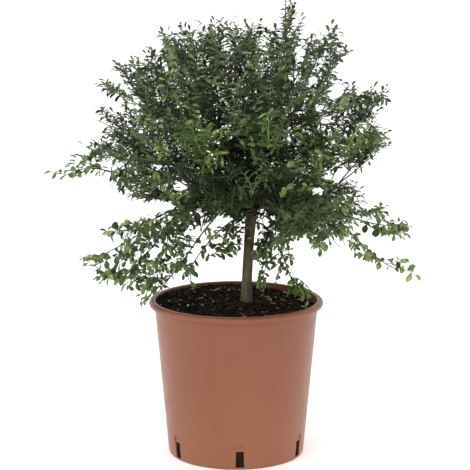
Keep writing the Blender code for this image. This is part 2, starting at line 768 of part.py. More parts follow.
def grow_twigs(mass, space, chance):
    """The centre lines of a mass's twigs, in turn round its stem, where there is room for them."""
    line = dense(mass["line"], CLOSE)
    length = line_length(line)
    normal = first_normal(mass["leaving"])
    twigs = []
    number = chance.randrange(LIMB_FLATS)
    travelled = TWIG_FROM * length
    while travelled < length:
        place = travelled / length
        index = min(len(line) - 2, int(place * (len(line) - 1)))
        along = (line[index + 1] - line[index - 1]).normalized()
        number += 1
        full = TWIG_LENGTH * mass["spread"] * twig_share(place) * chance.uniform(0.85, 1.12)
        for share in TWIG_TRIES:
            side = flat_side(along, normal, number, chance)
            twig = twig_line(line[index], along, side, full * share, chance)
            if space.holds_twig(mass["name"], twig[1:]):
                twigs.append(twig)
                break
        travelled += TWIG_STEP * chance.uniform(0.85, 1.15)
    return twigs


def grow_leaves(limb, step, mass, space, chance):
    """Leaves in turn along a limb, and one at its end, where there is room for them."""
    line = dense(limb, CLOSE)
    normal = first_normal((limb[1] - limb[0]).normalized())
    share = leaf_share(mass["spread"])
    leaves = []
    count = max(1, round(line_length(line) / (step * share)))
    for number in range(1, count + 1):
        index = int(number / count * (len(line) - 1))
        along = (line[index] - line[max(0, index - 2)]).normalized()
        for size in LEAF_TRIES:
            if number == count:
                way, sunk = along, TWIG_TIP * 0.8
            else:
                side = flat_side(along, normal, number, chance)
                way, sunk = branching(along, side, LEAF_ANGLE, chance), TWIG_TIP * 0.25
            full = size * share * chance.uniform(0.9, 1.08)
            corners = leaf_corners(line[index] - way * sunk, way, facing_up(way, chance), full)
            if space.holds_leaf(mass["name"], corners):
                leaves.append(corners)
                break
    return leaves


def solid(name, points, faces, material):
    """An object of the points and faces, with its faces pointing out."""
    shape = bmesh.new()
    shape.from_mesh(mesh_of(name, points, faces))
    return object_of(name, outward(shape, name), material)


def build_mass(mass, space, bark, leaf):
    """Joins a stem, its twigs and its leaves into one solid."""
    chance = random.Random(f"{mass['name']} {SEED}")
    twigs = grow_twigs(mass, space, chance)
    space.begin(twigs)
    leaves = []
    for twig in twigs:
        leaves += grow_leaves(twig, LEAF_STEP, mass, space, chance)
    line = dense(mass["line"], CLOSE)
    leafy = line[int(len(line) * STEM_BARE):]
    leaves += grow_leaves(leafy, STEM_LEAF_STEP, mass, space, chance)
    radii = [
        STEM_ROOT + (STEM_TIP - STEM_ROOT) * ring / (STEM_RINGS - 1) for ring in range(STEM_RINGS)
    ]
    rings, faces = tube(mass["line"], radii, LIMB_FLATS, mass["leaving"])
    obj = object_of(mass["name"], mesh_of(mass["name"], rings, faces), leaf)
    helpers = []
    for twig in twigs:
        rings, faces = tube(twig, (TWIG_ROOT, (TWIG_ROOT + TWIG_TIP) / 2, TWIG_TIP), LIMB_FLATS)
        helpers.append(solid("twig", rings, faces, bark))
    for corners in leaves:
        helpers.append(solid("leaf", corners, LEAF_FACES, leaf))
    boolean_with(obj, helpers, "UNION", "MANIFOLD")


def main():
    clear_scene()
    clay = finish("clay_plastic", (0.36, 0.14, 0.087), 0.45)
    compost = finish("compost", (0.012, 0.009, 0.006), 0.95)
    bark = finish("bark", (0.10, 0.085, 0.05), 0.8)
    leaf = finish("leaf", (0.03, 0.055, 0.018), 0.5)
    build_pot(clay)
    build_soil(compost)
    trunk_points, trunk_radii = build_trunk(bark)
    boughs = plan_boughs()
    build_boughs(boughs, bark)
    masses = plan_masses()
    share_out(masses, boughs)
    seat_stems(boughs)
    for mass in masses:
        mass["line"] = stem_line(mass)
    limbs = [(trunk_points, trunk_radii)] + [(bough["points"], bough["radii"]) for bough in boughs]
    space = Space(masses, limbs)
    for mass in masses:
        build_mass(mass, space, bark, leaf)


main()
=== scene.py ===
"""Finger lime in a nursery pot: the looks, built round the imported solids.

After the camera and the studio, the sections follow the plant as it is put together: pot,
compost, trunk, boughs, stems and twigs, inner twigs, shoots and leaves. Sizes are in metres,
with +Z up, and the photographed side faces -Y.
"""

import math
import random

import bmesh
import bpy
import numpy as np
from mathutils import Matrix, Quaternion, Vector, kdtree, noise


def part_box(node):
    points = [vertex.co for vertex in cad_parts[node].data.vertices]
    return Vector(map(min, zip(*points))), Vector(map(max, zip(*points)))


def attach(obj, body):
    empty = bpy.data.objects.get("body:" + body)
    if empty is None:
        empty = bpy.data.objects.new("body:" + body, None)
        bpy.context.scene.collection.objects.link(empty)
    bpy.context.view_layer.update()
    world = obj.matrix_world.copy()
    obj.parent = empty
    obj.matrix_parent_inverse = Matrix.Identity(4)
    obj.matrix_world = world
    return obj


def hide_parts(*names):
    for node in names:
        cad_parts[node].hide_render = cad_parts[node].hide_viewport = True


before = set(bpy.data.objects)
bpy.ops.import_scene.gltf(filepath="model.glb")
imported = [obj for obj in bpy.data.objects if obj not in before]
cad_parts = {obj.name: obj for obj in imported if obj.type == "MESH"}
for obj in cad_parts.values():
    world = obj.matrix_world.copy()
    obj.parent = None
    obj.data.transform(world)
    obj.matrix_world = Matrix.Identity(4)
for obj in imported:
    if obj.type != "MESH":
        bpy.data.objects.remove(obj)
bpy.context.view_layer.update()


# Camera: a long lens that looks a little down on the plant, from the height at which a plant
# on a table is photographed. It stands first, so that every piece is judged through it.
TARGET = Vector((-0.0015, 0, 0.281))
DISTANCE = 2.2
LOOK_DOWN = math.radians(10.6)
LENS_MM = 133.7
SENSOR_MM = 36


def start_afresh():
    """Back to object mode with nothing selected, so that an operator acts on its own piece."""
    if bpy.context.mode != "OBJECT":
        bpy.ops.object.mode_set(mode="OBJECT")
    bpy.ops.object.select_all(action="DESELECT")


start_afresh()
back = Vector((0, -math.cos(LOOK_DOWN), math.sin(LOOK_DOWN)))
camera_place = TARGET + back * DISTANCE
bpy.ops.object.camera_add(location=camera_place, rotation=(math.pi / 2 - LOOK_DOWN, 0, 0))
camera = bpy.context.object
camera.name = "camera"
camera.data.lens = LENS_MM
camera.data.sensor_width = SENSOR_MM
bpy.context.scene.camera = camera
bpy.context.scene.view_settings.view_transform = "Standard"


# Studio: a pale matt floor and large soft lights in a white room, so that the plant stands on
# white with only a faint shadow. The floor and the lights are no part of the plant.
FLOOR_RADIUS = 16
FLOOR_SIDES = 128
LIT_PLACE = Vector((0, 0, 0.35))
ROOM_LIGHT = 1
KEY_WATTS = 15
FILL_WATTS = 3
TOP_WATTS = 8


def soft_light(name, place, size, watts):
    """A square area light that looks at the foot of the crown."""
    start_afresh()
    way = LIT_PLACE - Vector(place)
    bpy.ops.object.light_add(
        type="AREA", location=place, rotation=way.to_track_quat("-Z", "Y").to_euler()
    )
    light = bpy.context.object
    light.name = name
    light.data.size = size
    light.data.energy = watts


soft_light("key_light", (-1.3, -1.9, 1.9), 1.4, KEY_WATTS)
soft_light("fill_light", (1.9, -1.5, 1.1), 1.6, FILL_WATTS)
soft_light("top_light", (0.1, 0.3, 2.3), 1.6, TOP_WATTS)

room = bpy.data.worlds.new("white_room")
room.use_nodes = True
room.node_tree.nodes["Background"].inputs["Color"].default_value = (1, 1, 1, 1)
room.node_tree.nodes["Background"].inputs["Strength"].default_value = ROOM_LIGHT
bpy.context.scene.world = room


def make_grain_group():
    """Cloudy grain over a surface, from 0 to 1, which every finish draws on at its own scale."""
    group = bpy.data.node_groups.new("surface_grain", "ShaderNodeTree")
    wires = group.interface
    wires.new_socket("Place", in_out="INPUT", socket_type="NodeSocketVector")
    wires.new_socket("Stretch", in_out="INPUT", socket_type="NodeSocketVector")
    for name in ("Scale", "Detail", "Roughness"):
        wires.new_socket(name, in_out="INPUT", socket_type="NodeSocketFloat")
    wires.new_socket("Grain", in_out="OUTPUT", socket_type="NodeSocketFloat")
    come_in, go_out = group.nodes.new("NodeGroupInput"), group.nodes.new("NodeGroupOutput")
    stretched, clouds = group.nodes.new("ShaderNodeMapping"), group.nodes.new("ShaderNodeTexNoise")
    group.links.new(come_in.outputs["Place"], stretched.inputs["Vector"])
    group.links.new(come_in.outputs["Stretch"], stretched.inputs["Scale"])
    group.links.new(stretched.outputs["Vector"], clouds.inputs["Vector"])
    for name in ("Scale", "Detail", "Roughness"):
        group.links.new(come_in.outputs[name], clouds.inputs[name])
    group.links.new(clouds.outputs["Fac"], go_out.inputs["Grain"])
    return group


GRAIN = make_grain_group()


class Finish:
    """A material of nodes round one Principled shader, wired in short steps."""

    def __init__(self, name, colour, roughness, **constants):
        self.material = bpy.data.materials.new(name)
        self.material.use_nodes = True
        self.material.diffuse_color = (*colour, 1)
        self.tree = self.material.node_tree
        self.shader = self.tree.nodes["Principled BSDF"]
        self.shader.inputs["Base Color"].default_value = (*colour, 1)
        self.shader.inputs["Roughness"].default_value = roughness
        self.shader.inputs["Metallic"].default_value = 0
        for socket, value in constants.items():
            self.shader.inputs[socket.replace("_", " ")].default_value = value
        self.place = self.tree.nodes.new("ShaderNodeTexCoord").outputs["Object"]

    def node(self, kind, links=None, values=None, **settings):
        """A node with its settings, its linked inputs and the values of its other inputs."""
        made = self.tree.nodes.new(kind)
        for name, value in settings.items():
            setattr(made, name, value)
        for name, value in (values or {}).items():
            made.inputs[name].default_value = value
        for name, source in (links or {}).items():
            self.tree.links.new(source, made.inputs[name])
        return made

    def grain(self, scale, detail=4, stretch=(1, 1, 1), roughness=0.55):
        """Cloudy grain from 0 to 1, finer for a larger scale."""
        return self.node(
            "ShaderNodeGroup", {"Place": self.place},
            {"Stretch": stretch, "Scale": scale, "Detail": detail, "Roughness": roughness},
            node_tree=GRAIN,
        ).outputs["Grain"]

    def ramp(self, source, stops):
        """Colours between stops of (place, colour), as the source goes from 0 to 1."""
        made = self.node("ShaderNodeValToRGB", {"Fac": source})
        band = made.color_ramp
        while len(band.elements) < len(stops):
            band.elements.new(1)
        for element, (spot, colour) in zip(band.elements, stops):
            element.position = spot
            element.color = (*colour, 1)
        return made.outputs["Color"]

    def blend(self, share, first, second, mode="MIX"):
        """One colour over another by a share that is a socket or a number."""
        made = self.node("ShaderNodeMix", data_type="RGBA", blend_type=mode)
        for number, source in ((0, share), (6, first), (7, second)):
            if isinstance(source, bpy.types.NodeSocket):
                self.tree.links.new(source, made.inputs[number])
            elif isinstance(source, tuple):
                made.inputs[number].default_value = (*source, 1)
            else:
                made.inputs[number].default_value = source
        return made.outputs[2]

    def range(self, source, low, high, from_low=0.3, from_high=0.7):
        """The source's middle stretch carried to the range from low to high."""
        return self.node(
            "ShaderNodeMapRange", {"Value": source},
            {"From Min": from_low, "From Max": from_high, "To Min": low, "To Max": high},
        ).outputs["Result"]

    def colour(self, source):
        """The source becomes the surface's colour."""
        self.tree.links.new(source, self.shader.inputs["Base Color"])

    def clouded(self, stops, *grain):
        """Colours between the stops over cloudy grain."""
        self.colour(self.ramp(self.grain(*grain), stops))

    def roughness(self, source):
        """The source becomes the surface's roughness."""
        self.tree.links.new(source, self.shader.inputs["Roughness"])

    def relief(self, source, height):
        """Bump of the given height in metres where the source goes from 0 to 1."""
        bump = self.node("ShaderNodeBump", {"Height": source}, {"Distance": height})
        self.tree.links.new(bump.outputs["Normal"], self.shader.inputs["Normal"])


start_afresh()
bpy.ops.mesh.primitive_circle_add(vertices=FLOOR_SIDES, radius=FLOOR_RADIUS, fill_type="NGON")
floor = bpy.context.object
floor.name = "floor"
paper = Finish(
    "pale_floor", (0.96, 0.96, 0.96), 0.9, Specular_IOR_Level=0.1, Emission_Strength=0.27
)
paper.clouded([(0.3, (0.95, 0.95, 0.95)), (0.7, (0.97, 0.97, 0.97))], 3)
floor.data.materials.append(paper.material)


# Pot: a round nursery pot, injection moulded in one piece from terracotta-coloured plastic. Its
# rim is rolled over for stiffness, and six drainage slots are moulded into shallow arched
# recesses round its foot.
POT_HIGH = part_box("pot")[1]
POT_HEIGHT = POT_HIGH.z
RIM_RADIUS = POT_HIGH.x
RIM_WIDTH = 0.008
RIM_DEPTH = 0.0072
RIM_UNDERSIDE = POT_HEIGHT - RIM_DEPTH
BEAD_LOWER, BEAD_UPPER, BEAD_INNER = 0.0016, 0.0042, 0.0011  # radii of the bead's corners
WALL = 0.0016
WALL_TOP_RADIUS = RIM_RADIUS - RIM_WIDTH + 0.0012
FOOT_RADIUS = 0.0862
FOOT_ROUND = 0.0026
FOOT_RING = 0.0062  # how wide a ring the pot stands on
UNDER_RECESS = 0.0011
UNDER_SLOPE = 0.002  # how far in from the ring the underside has risen
STACK_BAND = 0.0052  # the thicker band under the rim on which stacked pots rest
STACK_STEP = 0.00045
FILLET = 0.0006
POT_FLOOR = 0.0026
POT_SIDES = 192
SLOT_TURNS = [math.radians(-87 + 60 * index) for index in range(6)]
SLOT_WIDTH = 0.0094
SLOT_LOW = 0.0032
SLOT_HIGH = 0.024
SLOT_TAPER = 0.0007  # how far each side of a slot leans out towards its foot
SLOT_CORNER = 0.0012
SLOT_CORNER_STEPS = 4
SLOT_BACK = 0.006  # how far behind the foot's edge a slot starts, inside the pot
PANEL_WIDTH = 0.0128
PANEL_LOW = 0.0022
PANEL_HIGH = 0.0325
PANEL_DEPTH = 0.0009
PANEL_ARCH = PANEL_WIDTH / 2 * 0.98
PANEL_ARCH_STEPS = 8
LOW_END = 0.001  # corners this near to a block's foot belong to it


def arc(middle, radius, first, last, steps):
    """Points of (radius, height) round a quarter or so, from one angle to the other."""
    made = []
    for step in range(steps + 1):
        angle = math.radians(first + (last - first) * step / steps)
        made.append((middle[0] + radius * math.cos(angle), middle[1] + radius * math.sin(angle)))
    return made


def wall_radius(height):
    """The wall's outer radius at a height."""
    return FOOT_RADIUS + (WALL_TOP_RADIUS - FOOT_RADIUS) * height / RIM_UNDERSIDE


def draw_up(name, stations, sides):
    """A round piece drawn up from a disc, ring by ring, through stations of (centre, radius)."""
    start_afresh()
    centre, radius = stations[0]
    bpy.ops.mesh.primitive_circle_add(
        vertices=sides, radius=radius, fill_type="NGON", location=centre
    )
    piece = bpy.context.object
    piece.name = name
    bpy.ops.object.mode_set(mode="EDIT")
    bpy.ops.mesh.select_all(action="SELECT")
    for (was_centre, was_radius), (centre, radius) in zip(stations, stations[1:]):
        step = Vector(centre) - Vector(was_centre)
        bpy.ops.mesh.extrude_region_move(TRANSFORM_OT_translate={"value": step})
        share = radius / was_radius
        bpy.ops.transform.resize(value=(share, share, 1), center_override=centre)
    bpy.ops.mesh.select_all(action="SELECT")
    bpy.ops.mesh.normals_make_consistent(inside=False)
    bpy.ops.object.mode_set(mode="OBJECT")
    bpy.ops.object.transform_apply(location=True, rotation=True, scale=True)
    return piece


band_foot = RIM_UNDERSIDE - STACK_BAND
wall_top = wall_radius(RIM_UNDERSIDE)
outline = [
    (FOOT_RADIUS - FOOT_RING - UNDER_SLOPE, UNDER_RECESS), (FOOT_RADIUS - FOOT_RING, 0),
    *arc((FOOT_RADIUS - FOOT_ROUND, FOOT_ROUND), FOOT_ROUND, -90, 0, 6),
]
for height in np.linspace(0.008, band_foot - FILLET, 14):
    outline.append((wall_radius(height), float(height)))
outline += [
    (wall_radius(band_foot) + STACK_STEP, band_foot),
    (wall_top + STACK_STEP, RIM_UNDERSIDE - 0.0004),
    (wall_top + STACK_STEP + FILLET, RIM_UNDERSIDE),
    *arc((RIM_RADIUS - BEAD_LOWER, RIM_UNDERSIDE + BEAD_LOWER), BEAD_LOWER, -90, 0, 4),
    *arc((RIM_RADIUS - BEAD_UPPER, POT_HEIGHT - BEAD_UPPER), BEAD_UPPER, 12, 78, 6),
    *arc((RIM_RADIUS - RIM_WIDTH + BEAD_INNER, POT_HEIGHT - 0.0012), BEAD_INNER, 90, 180, 4),
    (wall_top - WALL, RIM_UNDERSIDE - 0.001),
]
for height in np.linspace(RIM_UNDERSIDE - 0.006, POT_FLOOR, 10):
    outline.append((wall_radius(height) - WALL, float(height)))
pot = draw_up("nursery_pot", [((0, 0, height), radius) for radius, height in outline], POT_SIDES)


def cut_from(piece, cutter):
    """Cuts one piece out of another and removes it."""
    start_afresh()
    bpy.context.view_layer.objects.active = piece
    piece.select_set(True)
    cut = piece.modifiers.new("cut", "BOOLEAN")
    cut.operation = "DIFFERENCE"
    cut.solver = "EXACT"
    cut.object = cutter
    bpy.ops.object.modifier_apply(modifier=cut.name)
    bpy.data.objects.remove(cutter)


def block(name, low, high):
    """A cube carried to the box between two corners."""
    start_afresh()
    middle = (Vector(low) + Vector(high)) / 2
    bpy.ops.mesh.primitive_cube_add(size=1, location=middle)
    made = bpy.context.object
    made.name = name
    bpy.ops.transform.resize(value=Vector(high) - Vector(low), center_override=middle)
    bpy.ops.object.transform_apply(location=True, rotation=True, scale=True)
    return made


def round_edges(piece, chosen, radius, segments):
    """Bevels the edges whose two ends both meet the rule."""
    start_afresh()
    bpy.context.view_layer.objects.active = piece
    piece.select_set(True)
    bpy.ops.object.mode_set(mode="EDIT")
    bpy.ops.mesh.select_mode(type="EDGE")
    shape = bmesh.from_edit_mesh(piece.data)
    for edge in shape.edges:
        first, second = (corner.co for corner in edge.verts)
        edge.select = chosen(first, second)
    shape.select_flush_mode()
    bmesh.update_edit_mesh(piece.data)
    bpy.ops.mesh.bevel(offset=radius, segments=segments, affect="EDGES")
    bpy.ops.object.mode_set(mode="OBJECT")


def along_x(first, second):
    """Whether the edge between two corners runs along X."""
    return abs(first.y - second.y) < 1e-6 and abs(first.z - second.z) < 1e-6


def arched(first, second):
    """Whether an edge of the recess's block is one of the two that its arch rounds."""
    return along_x(first, second) and first.z > PANEL_LOW + LOW_END


for turn in SLOT_TURNS:
    panel = block(
        "panel", (wall_radius(SLOT_HIGH) - PANEL_DEPTH, -PANEL_WIDTH / 2, PANEL_LOW),
        (RIM_RADIUS, PANEL_WIDTH / 2, PANEL_HIGH),
    )
    round_edges(panel, arched, PANEL_ARCH, PANEL_ARCH_STEPS)
    slot = block(
        "slot", (FOOT_RADIUS - SLOT_BACK, -SLOT_WIDTH / 2, SLOT_LOW),
        (RIM_RADIUS, SLOT_WIDTH / 2, SLOT_HIGH),
    )
    for corner in slot.data.vertices:
        if corner.co.z < SLOT_LOW + LOW_END:
            corner.co.y += math.copysign(SLOT_TAPER, corner.co.y)
    round_edges(slot, along_x, SLOT_CORNER, SLOT_CORNER_STEPS)
    for cutter in (panel, slot):
        start_afresh()
        cutter.select_set(True)
        cutter.data.transform(Matrix.Rotation(turn, 4, "Z"))
        cut_from(pot, cutter)


def smooth(piece, degrees):
    """Shades a piece smooth, but for edges where its faces meet at a larger angle."""
    start_afresh()
    bpy.context.view_layer.objects.active = piece
    piece.select_set(True)
    bpy.ops.object.shade_smooth_by_angle(angle=math.radians(degrees))


def dress(piece, finishes, slot_name, *nodes):
    """Gives a piece its materials and its body, and hides the nodes it stands for."""
    piece.data.materials.clear()
    for finish in finishes:
        piece.data.materials.append(finish.material)
    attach(piece, "root")
    if nodes:
        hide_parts(*nodes)


smooth(pot, 28)
clay = Finish("moulded_terracotta_plastic", (0.276, 0.089, 0.04), 0.36, Specular_IOR_Level=0.42)
faded = clay.ramp(clay.grain(9, 3), [(0.35, (0.27, 0.088, 0.04)), (0.7, (0.299, 0.103, 0.05))])
flow = clay.grain(22, 3, (1, 1, 0.12))
streaked = clay.blend(clay.range(flow, 0, 0.14), faded, (0.352, 0.14, 0.082))
scuffs = clay.range(clay.grain(160, 6, (1, 1, 0.5), 0.7), 0, 0.22, 0.64, 0.76)
worn = clay.blend(scuffs, streaked, (0.38, 0.195, 0.128))
level = clay.node("ShaderNodeSeparateXYZ", {"Vector": clay.place}).outputs["Z"]
# Painted light: darker towards the rim, so that the foot looks lit from the pale floor below.
painted_bounce_light = clay.ramp(clay.range(level, 0, 1, 0, POT_HEIGHT), [
    (0.04, (1, 1, 1)), (0.5, (0.87, 0.82, 0.78)), (0.9, (0.82, 0.75, 0.71)),
])
clay.colour(clay.blend(1.0, worn, painted_bounce_light, "MULTIPLY"))
clay.roughness(clay.range(clay.grain(60, 5), 0.31, 0.43))
clay.relief(clay.grain(900, 2), 0.00005)
dress(pot, [clay], "clay_plastic", "pot")


# Compost: moist peat and composted bark, poured in to just under the rim and heaped a little
# round the trunk. Its surface is lumpy, and crumbs, fibres, perlite and bark chips lie on it.
TRUNK_FOOT = Vector((0.0125, 0, 0.1943))
UP = Vector((0, 0, 1))
SOIL_LEVEL = 0.1894
MOUND_TOP = 0.1972
MOUND_RADIUS = 0.052
MOUND_FLAT = 0.26
BANK_HEIGHT = 0.0074
BANK_TURN = math.radians(130)
BANK_SHARE = 0.72
SOIL_GAP = 0.0005  # between the compost and the wall
SOIL_EDGE = wall_radius(SOIL_LEVEL) - WALL - SOIL_GAP
SOIL_FOOT = POT_FLOOR + 0.0003
SOIL_SIDES = 144
SOIL_RINGS = 46
SOIL_SINK = 0.0012
LUMP_SCALE, LUMP_HEIGHT = 85, 0.0021
SWELL_SCALE, SWELL_HEIGHT = 28, 0.0026
CALM_EDGE = 0.012  # over how wide a ring at the wall the lumps die down
CLEAR_OF_TRUNK = 0.012
CRUMBS = 2600
CRUMB_LEAST, CRUMB_MORE = 0.0007, 0.0022  # the smallest size, and what the largest adds to it
CLODS = 150
CLOD_SIZE = (0.002, 0.0042)
FIBRES = 260
FIBRE_LENGTH = (0.005, 0.014)
FIBRE_RADIUS = (0.00022, 0.0005)
FIBRE_STEPS = 4
CRUMB_EDGE, CLOD_EDGE, FIBRE_EDGE = 0.985, 0.94, 0.93  # how far out they lie, as shares
PERLITE_GRAINS = (  # of (x, y, size), the ones that the photo shows
    (-0.061, -0.012, 0.0026), (-0.0407, 0.0336, 0.0016), (-0.009, -0.072, 0.0009),
    (-0.0561, 0.0663, 0.0029), (-0.07, 0.012, 0.0009), (0.047, -0.04, 0.0009),
)
PERLITE_DUST = 34
PERLITE_SIZE = (0.0005, 0.0011)
CHIPS = (  # of (x, y, length, width, turn), the ones that stand up in the photo
    (-0.0264, 0.066, 0.016, 0.0014, 0.5), (-0.0458, 0.02, 0.011, 0.0012, 0.7),
    (0.0316, 0.071, 0.009, 0.0022, 1.9), (0.038, 0.04, 0.009, 0.0018, 2.2),
    (0.0429, 0.022, 0.006, 0.0017, 0.4), (0.0421, 0.046, 0.007, 0.0019, -1.1),
    (0.0642, 0.069, 0.008, 0.0018, -0.4), (0.0832, 0.037, 0.009, 0.002, 0.1),
    (0.047, 0.003, 0.006, 0.0015, -0.4), (0.034, 0.056, 0.007, 0.0018, 0.9),
    (0.085, -0.007, 0.008, 0.0014, -0.2), (0.06, 0.03, 0.006, 0.0015, 0.2),
)
CHIP_TILT = 0.8
CHIP_STEPS = 4
FLAT_CHIPS = 46
FLAT_CHIP_PLACES = (0.1, 0.92)  # the shares of the compost's radius between which they lie
FLAT_CHIP_LENGTH = (0.003, 0.007)
FLAT_CHIP_WIDTH = (0.0012, 0.0024)
COMPOST_SEED = 7

chance = random.Random(COMPOST_SEED)


def eased(share):
    """Rises from 0 to 1 with the share, level at both ends."""
    share = min(1, max(0, share))
    return share * share * (3 - 2 * share)


def mound(x, y):
    """The level of the compost without its lumps, higher at the trunk and at the back left."""
    away = math.hypot(x - TRUNK_FOOT.x, y - TRUNK_FOOT.y) / MOUND_RADIUS
    level = MOUND_TOP - (MOUND_TOP - SOIL_LEVEL) * eased((away - MOUND_FLAT) / (1 - MOUND_FLAT))
    along = x * math.cos(BANK_TURN) + y * math.sin(BANK_TURN)
    return level + BANK_HEIGHT * eased(along / (BANK_SHARE * SOIL_EDGE))


def soil_height(x, y):
    """The level of the compost with its lumps, which die down at the wall."""
    lumps = noise.fractal(Vector((x, y, 0)) * LUMP_SCALE, 1, 2.1, 4)
    swell = noise.noise(Vector((x, y, 0.5)) * SWELL_SCALE)
    edge = min(1, max(0, (SOIL_EDGE - math.hypot(x, y)) / CALM_EDGE))
    rough = (lumps * LUMP_HEIGHT + swell * SWELL_HEIGHT) * (0.35 + 0.65 * edge)
    return mound(x, y) - SOIL_SINK + rough


plug = [
    ((0, 0, SOIL_FOOT), wall_radius(SOIL_FOOT) - WALL - SOIL_GAP), ((0, 0, SOIL_LEVEL), SOIL_EDGE)
]
for ring in range(1, SOIL_RINGS):
    plug.append(((0, 0, SOIL_LEVEL), SOIL_EDGE * (1 - ring / SOIL_RINGS)))
compost = draw_up("compost", plug, SOIL_SIDES)
for corner in compost.data.vertices:
    if corner.co.z > SOIL_LEVEL - 0.001:
        corner.co.z = soil_height(corner.co.x, corner.co.y)
smooth(compost, 60)


class Heap:
    """Many small pieces gathered into one mesh."""

    def __init__(self):
        self.points, self.faces, self.kinds = [], [], []

    def add(self, points, faces, kind=0):
        """Takes in a small piece, whose faces count its own corners, with its material's number."""
        start = len(self.points)
        self.points += points
        self.faces += [tuple(start + number for number in face) for face in faces]
        self.kinds += [kind] * len(faces)

    def piece(self, name):
        """All that was gathered, as one piece."""
        mesh = bpy.data.meshes.new(name)
        mesh.from_pydata(self.points, [], self.faces)
        mesh.polygons.foreach_set("material_index", self.kinds)
        made = bpy.data.objects.new(name, mesh)
        bpy.context.collection.objects.link(made)
        return made


def lump_shape():
    """The corners and faces of one rough lump, modelled once from a small ball."""
    start_afresh()
    bpy.ops.mesh.primitive_ico_sphere_add(subdivisions=1, radius=1)
    ball = bpy.context.object
    corners = []
    for corner in ball.data.vertices:
        corners.append(corner.co * (0.8 + 0.35 * noise.cell(corner.co * 3)))
    faces = [tuple(face.vertices) for face in ball.data.polygons]
    bpy.data.objects.remove(ball)
    return corners, faces


LUMP, LUMP_FACES = lump_shape()


def lump(heap, place, size, flat, long=1.0):
    """One lump laid down at a place, squashed and turned at random."""
    spin = Matrix.Rotation(chance.uniform(0, math.tau), 3, "Z")
    tilt = Matrix.Rotation(chance.uniform(-0.5, 0.5), 3, "X")
    points = []
    for corner in LUMP:
        rough = 1 + chance.uniform(-0.2, 0.2)
        shaped = Vector((corner.x * long, corner.y, corner.z * flat)) * size * rough
        points.append(place + spin @ (tilt @ shaped))
    heap.add(points, LUMP_FACES)


def spot_on_soil(inner=0.0, outer=1.0):
    """A random place on the compost, clear of the trunk."""
    while True:
        away = SOIL_EDGE * math.sqrt(chance.uniform(inner ** 2, outer ** 2))
        turn = chance.uniform(0, math.tau)
        x, y = away * math.cos(turn), away * math.sin(turn)
        if math.hypot(x - TRUNK_FOOT.x, y - TRUNK_FOOT.y) > CLEAR_OF_TRUNK:
            return Vector((x, y, soil_height(x, y)))


def strand(points, radius, sides=4):
    """Corners and faces of a thin round strand through the points, closed at both ends."""
    return tube(points, [radius] * (len(points) - 1) + [radius * 0.5], sides)


def first_normal(along):
    """The direction across a limb from which its corners are counted."""
    level = Vector((0, 1, 0)) if abs(along.y) < 0.9 else Vector((1, 0, 0))
    return along.cross(level).normalized()


def tube(points, radii, sides):
    """Corners and faces of a tapering limb, closed at both ends."""
    normal = None
    corners = []
    for index, (centre, radius) in enumerate(zip(points, radii)):
        before, after = points[max(index - 1, 0)], points[min(index + 1, len(points) - 1)]
        along = (after - before).normalized()
        if normal is None:
            normal = first_normal(along)
        normal = (normal - along * normal.dot(along)).normalized()
        other = along.cross(normal)
        for step in range(sides):
            angle = math.tau * step / sides
            corners.append(centre + radius * (math.cos(angle) * normal + math.sin(angle) * other))
    faces = [tuple(range(sides))[::-1]]
    for ring in range(len(points) - 1):
        start = ring * sides
        for step in range(sides):
            after = (step + 1) % sides
            faces.append((start + step, start + after, start + sides + after, start + sides + step))
    last = (len(points) - 1) * sides
    faces.append(tuple(range(last, last + sides)))
    return corners, faces


crumbs = Heap()
for _ in range(CRUMBS):
    size = CRUMB_LEAST + CRUMB_MORE * chance.random() ** 3
    place = spot_on_soil(0, CRUMB_EDGE) + UP * size * 0.25
    lump(crumbs, place, size, 0.75, chance.uniform(1, 1.6))
clods = Heap()
for _ in range(CLODS):
    size = chance.uniform(*CLOD_SIZE)
    lump(clods, spot_on_soil(0, CLOD_EDGE), size, 0.6, chance.uniform(1, 1.5))
fibres = Heap()
for _ in range(FIBRES):
    place = spot_on_soil(0, FIBRE_EDGE) + UP * 0.0008
    turn, bend = chance.uniform(0, math.tau), chance.uniform(-0.6, 0.6)
    length = chance.uniform(*FIBRE_LENGTH)
    line = []
    for step in range(FIBRE_STEPS + 1):
        share = step / FIBRE_STEPS
        way = turn + bend * share
        line.append(place + Vector((math.cos(way), math.sin(way), 0)) * length * share)
        line[-1].z = soil_height(line[-1].x, line[-1].y) + 0.0006 + 0.0012 * share * chance.random()
    fibres.add(*strand(line, chance.uniform(*FIBRE_RADIUS)))
perlite = Heap()
for x, y, size in PERLITE_GRAINS:
    lump(perlite, Vector((x, y, soil_height(x, y) + size * 0.6)), size, 0.9)
for _ in range(PERLITE_DUST):
    size = chance.uniform(*PERLITE_SIZE)
    lump(perlite, spot_on_soil() + UP * size * 0.5, size, 0.9)


def chip(heap, x, y, length, width, turn, tilt=0.0):
    """A thin curled flake of bark or dry wood that lies on the compost, or stands up by a tilt."""
    ahead = Vector((math.cos(turn), math.sin(turn), 0))
    level = math.cos(tilt)
    side = Vector((-math.sin(turn) * level, math.cos(turn) * level, math.sin(tilt)))
    points = []
    for step in range(CHIP_STEPS + 1):
        share = step / CHIP_STEPS - 0.5
        spot = Vector((x, y, 0)) + ahead * length * share
        half = width / 2 * math.sqrt(max(0.12, 1 - (2 * share) ** 2))
        height = soil_height(spot.x, spot.y) + 0.0013 + width * 0.4 * (abs(share) + math.sin(tilt))
        for across, lift in ((-1, 0.25), (1, 0.25), (1, -0.1), (-1, -0.1)):
            points.append(spot + side * half * across + UP * (height + width * lift * 0.5))
    last = 4 * CHIP_STEPS
    faces = [(0, 1, 2, 3), (last + 3, last + 2, last + 1, last)]
    for ring in range(CHIP_STEPS):
        start = ring * 4
        for step in range(4):
            after = (step + 1) % 4
            faces.append((start + after, start + step, start + 4 + step, start + 4 + after))
    heap.add(points, faces)


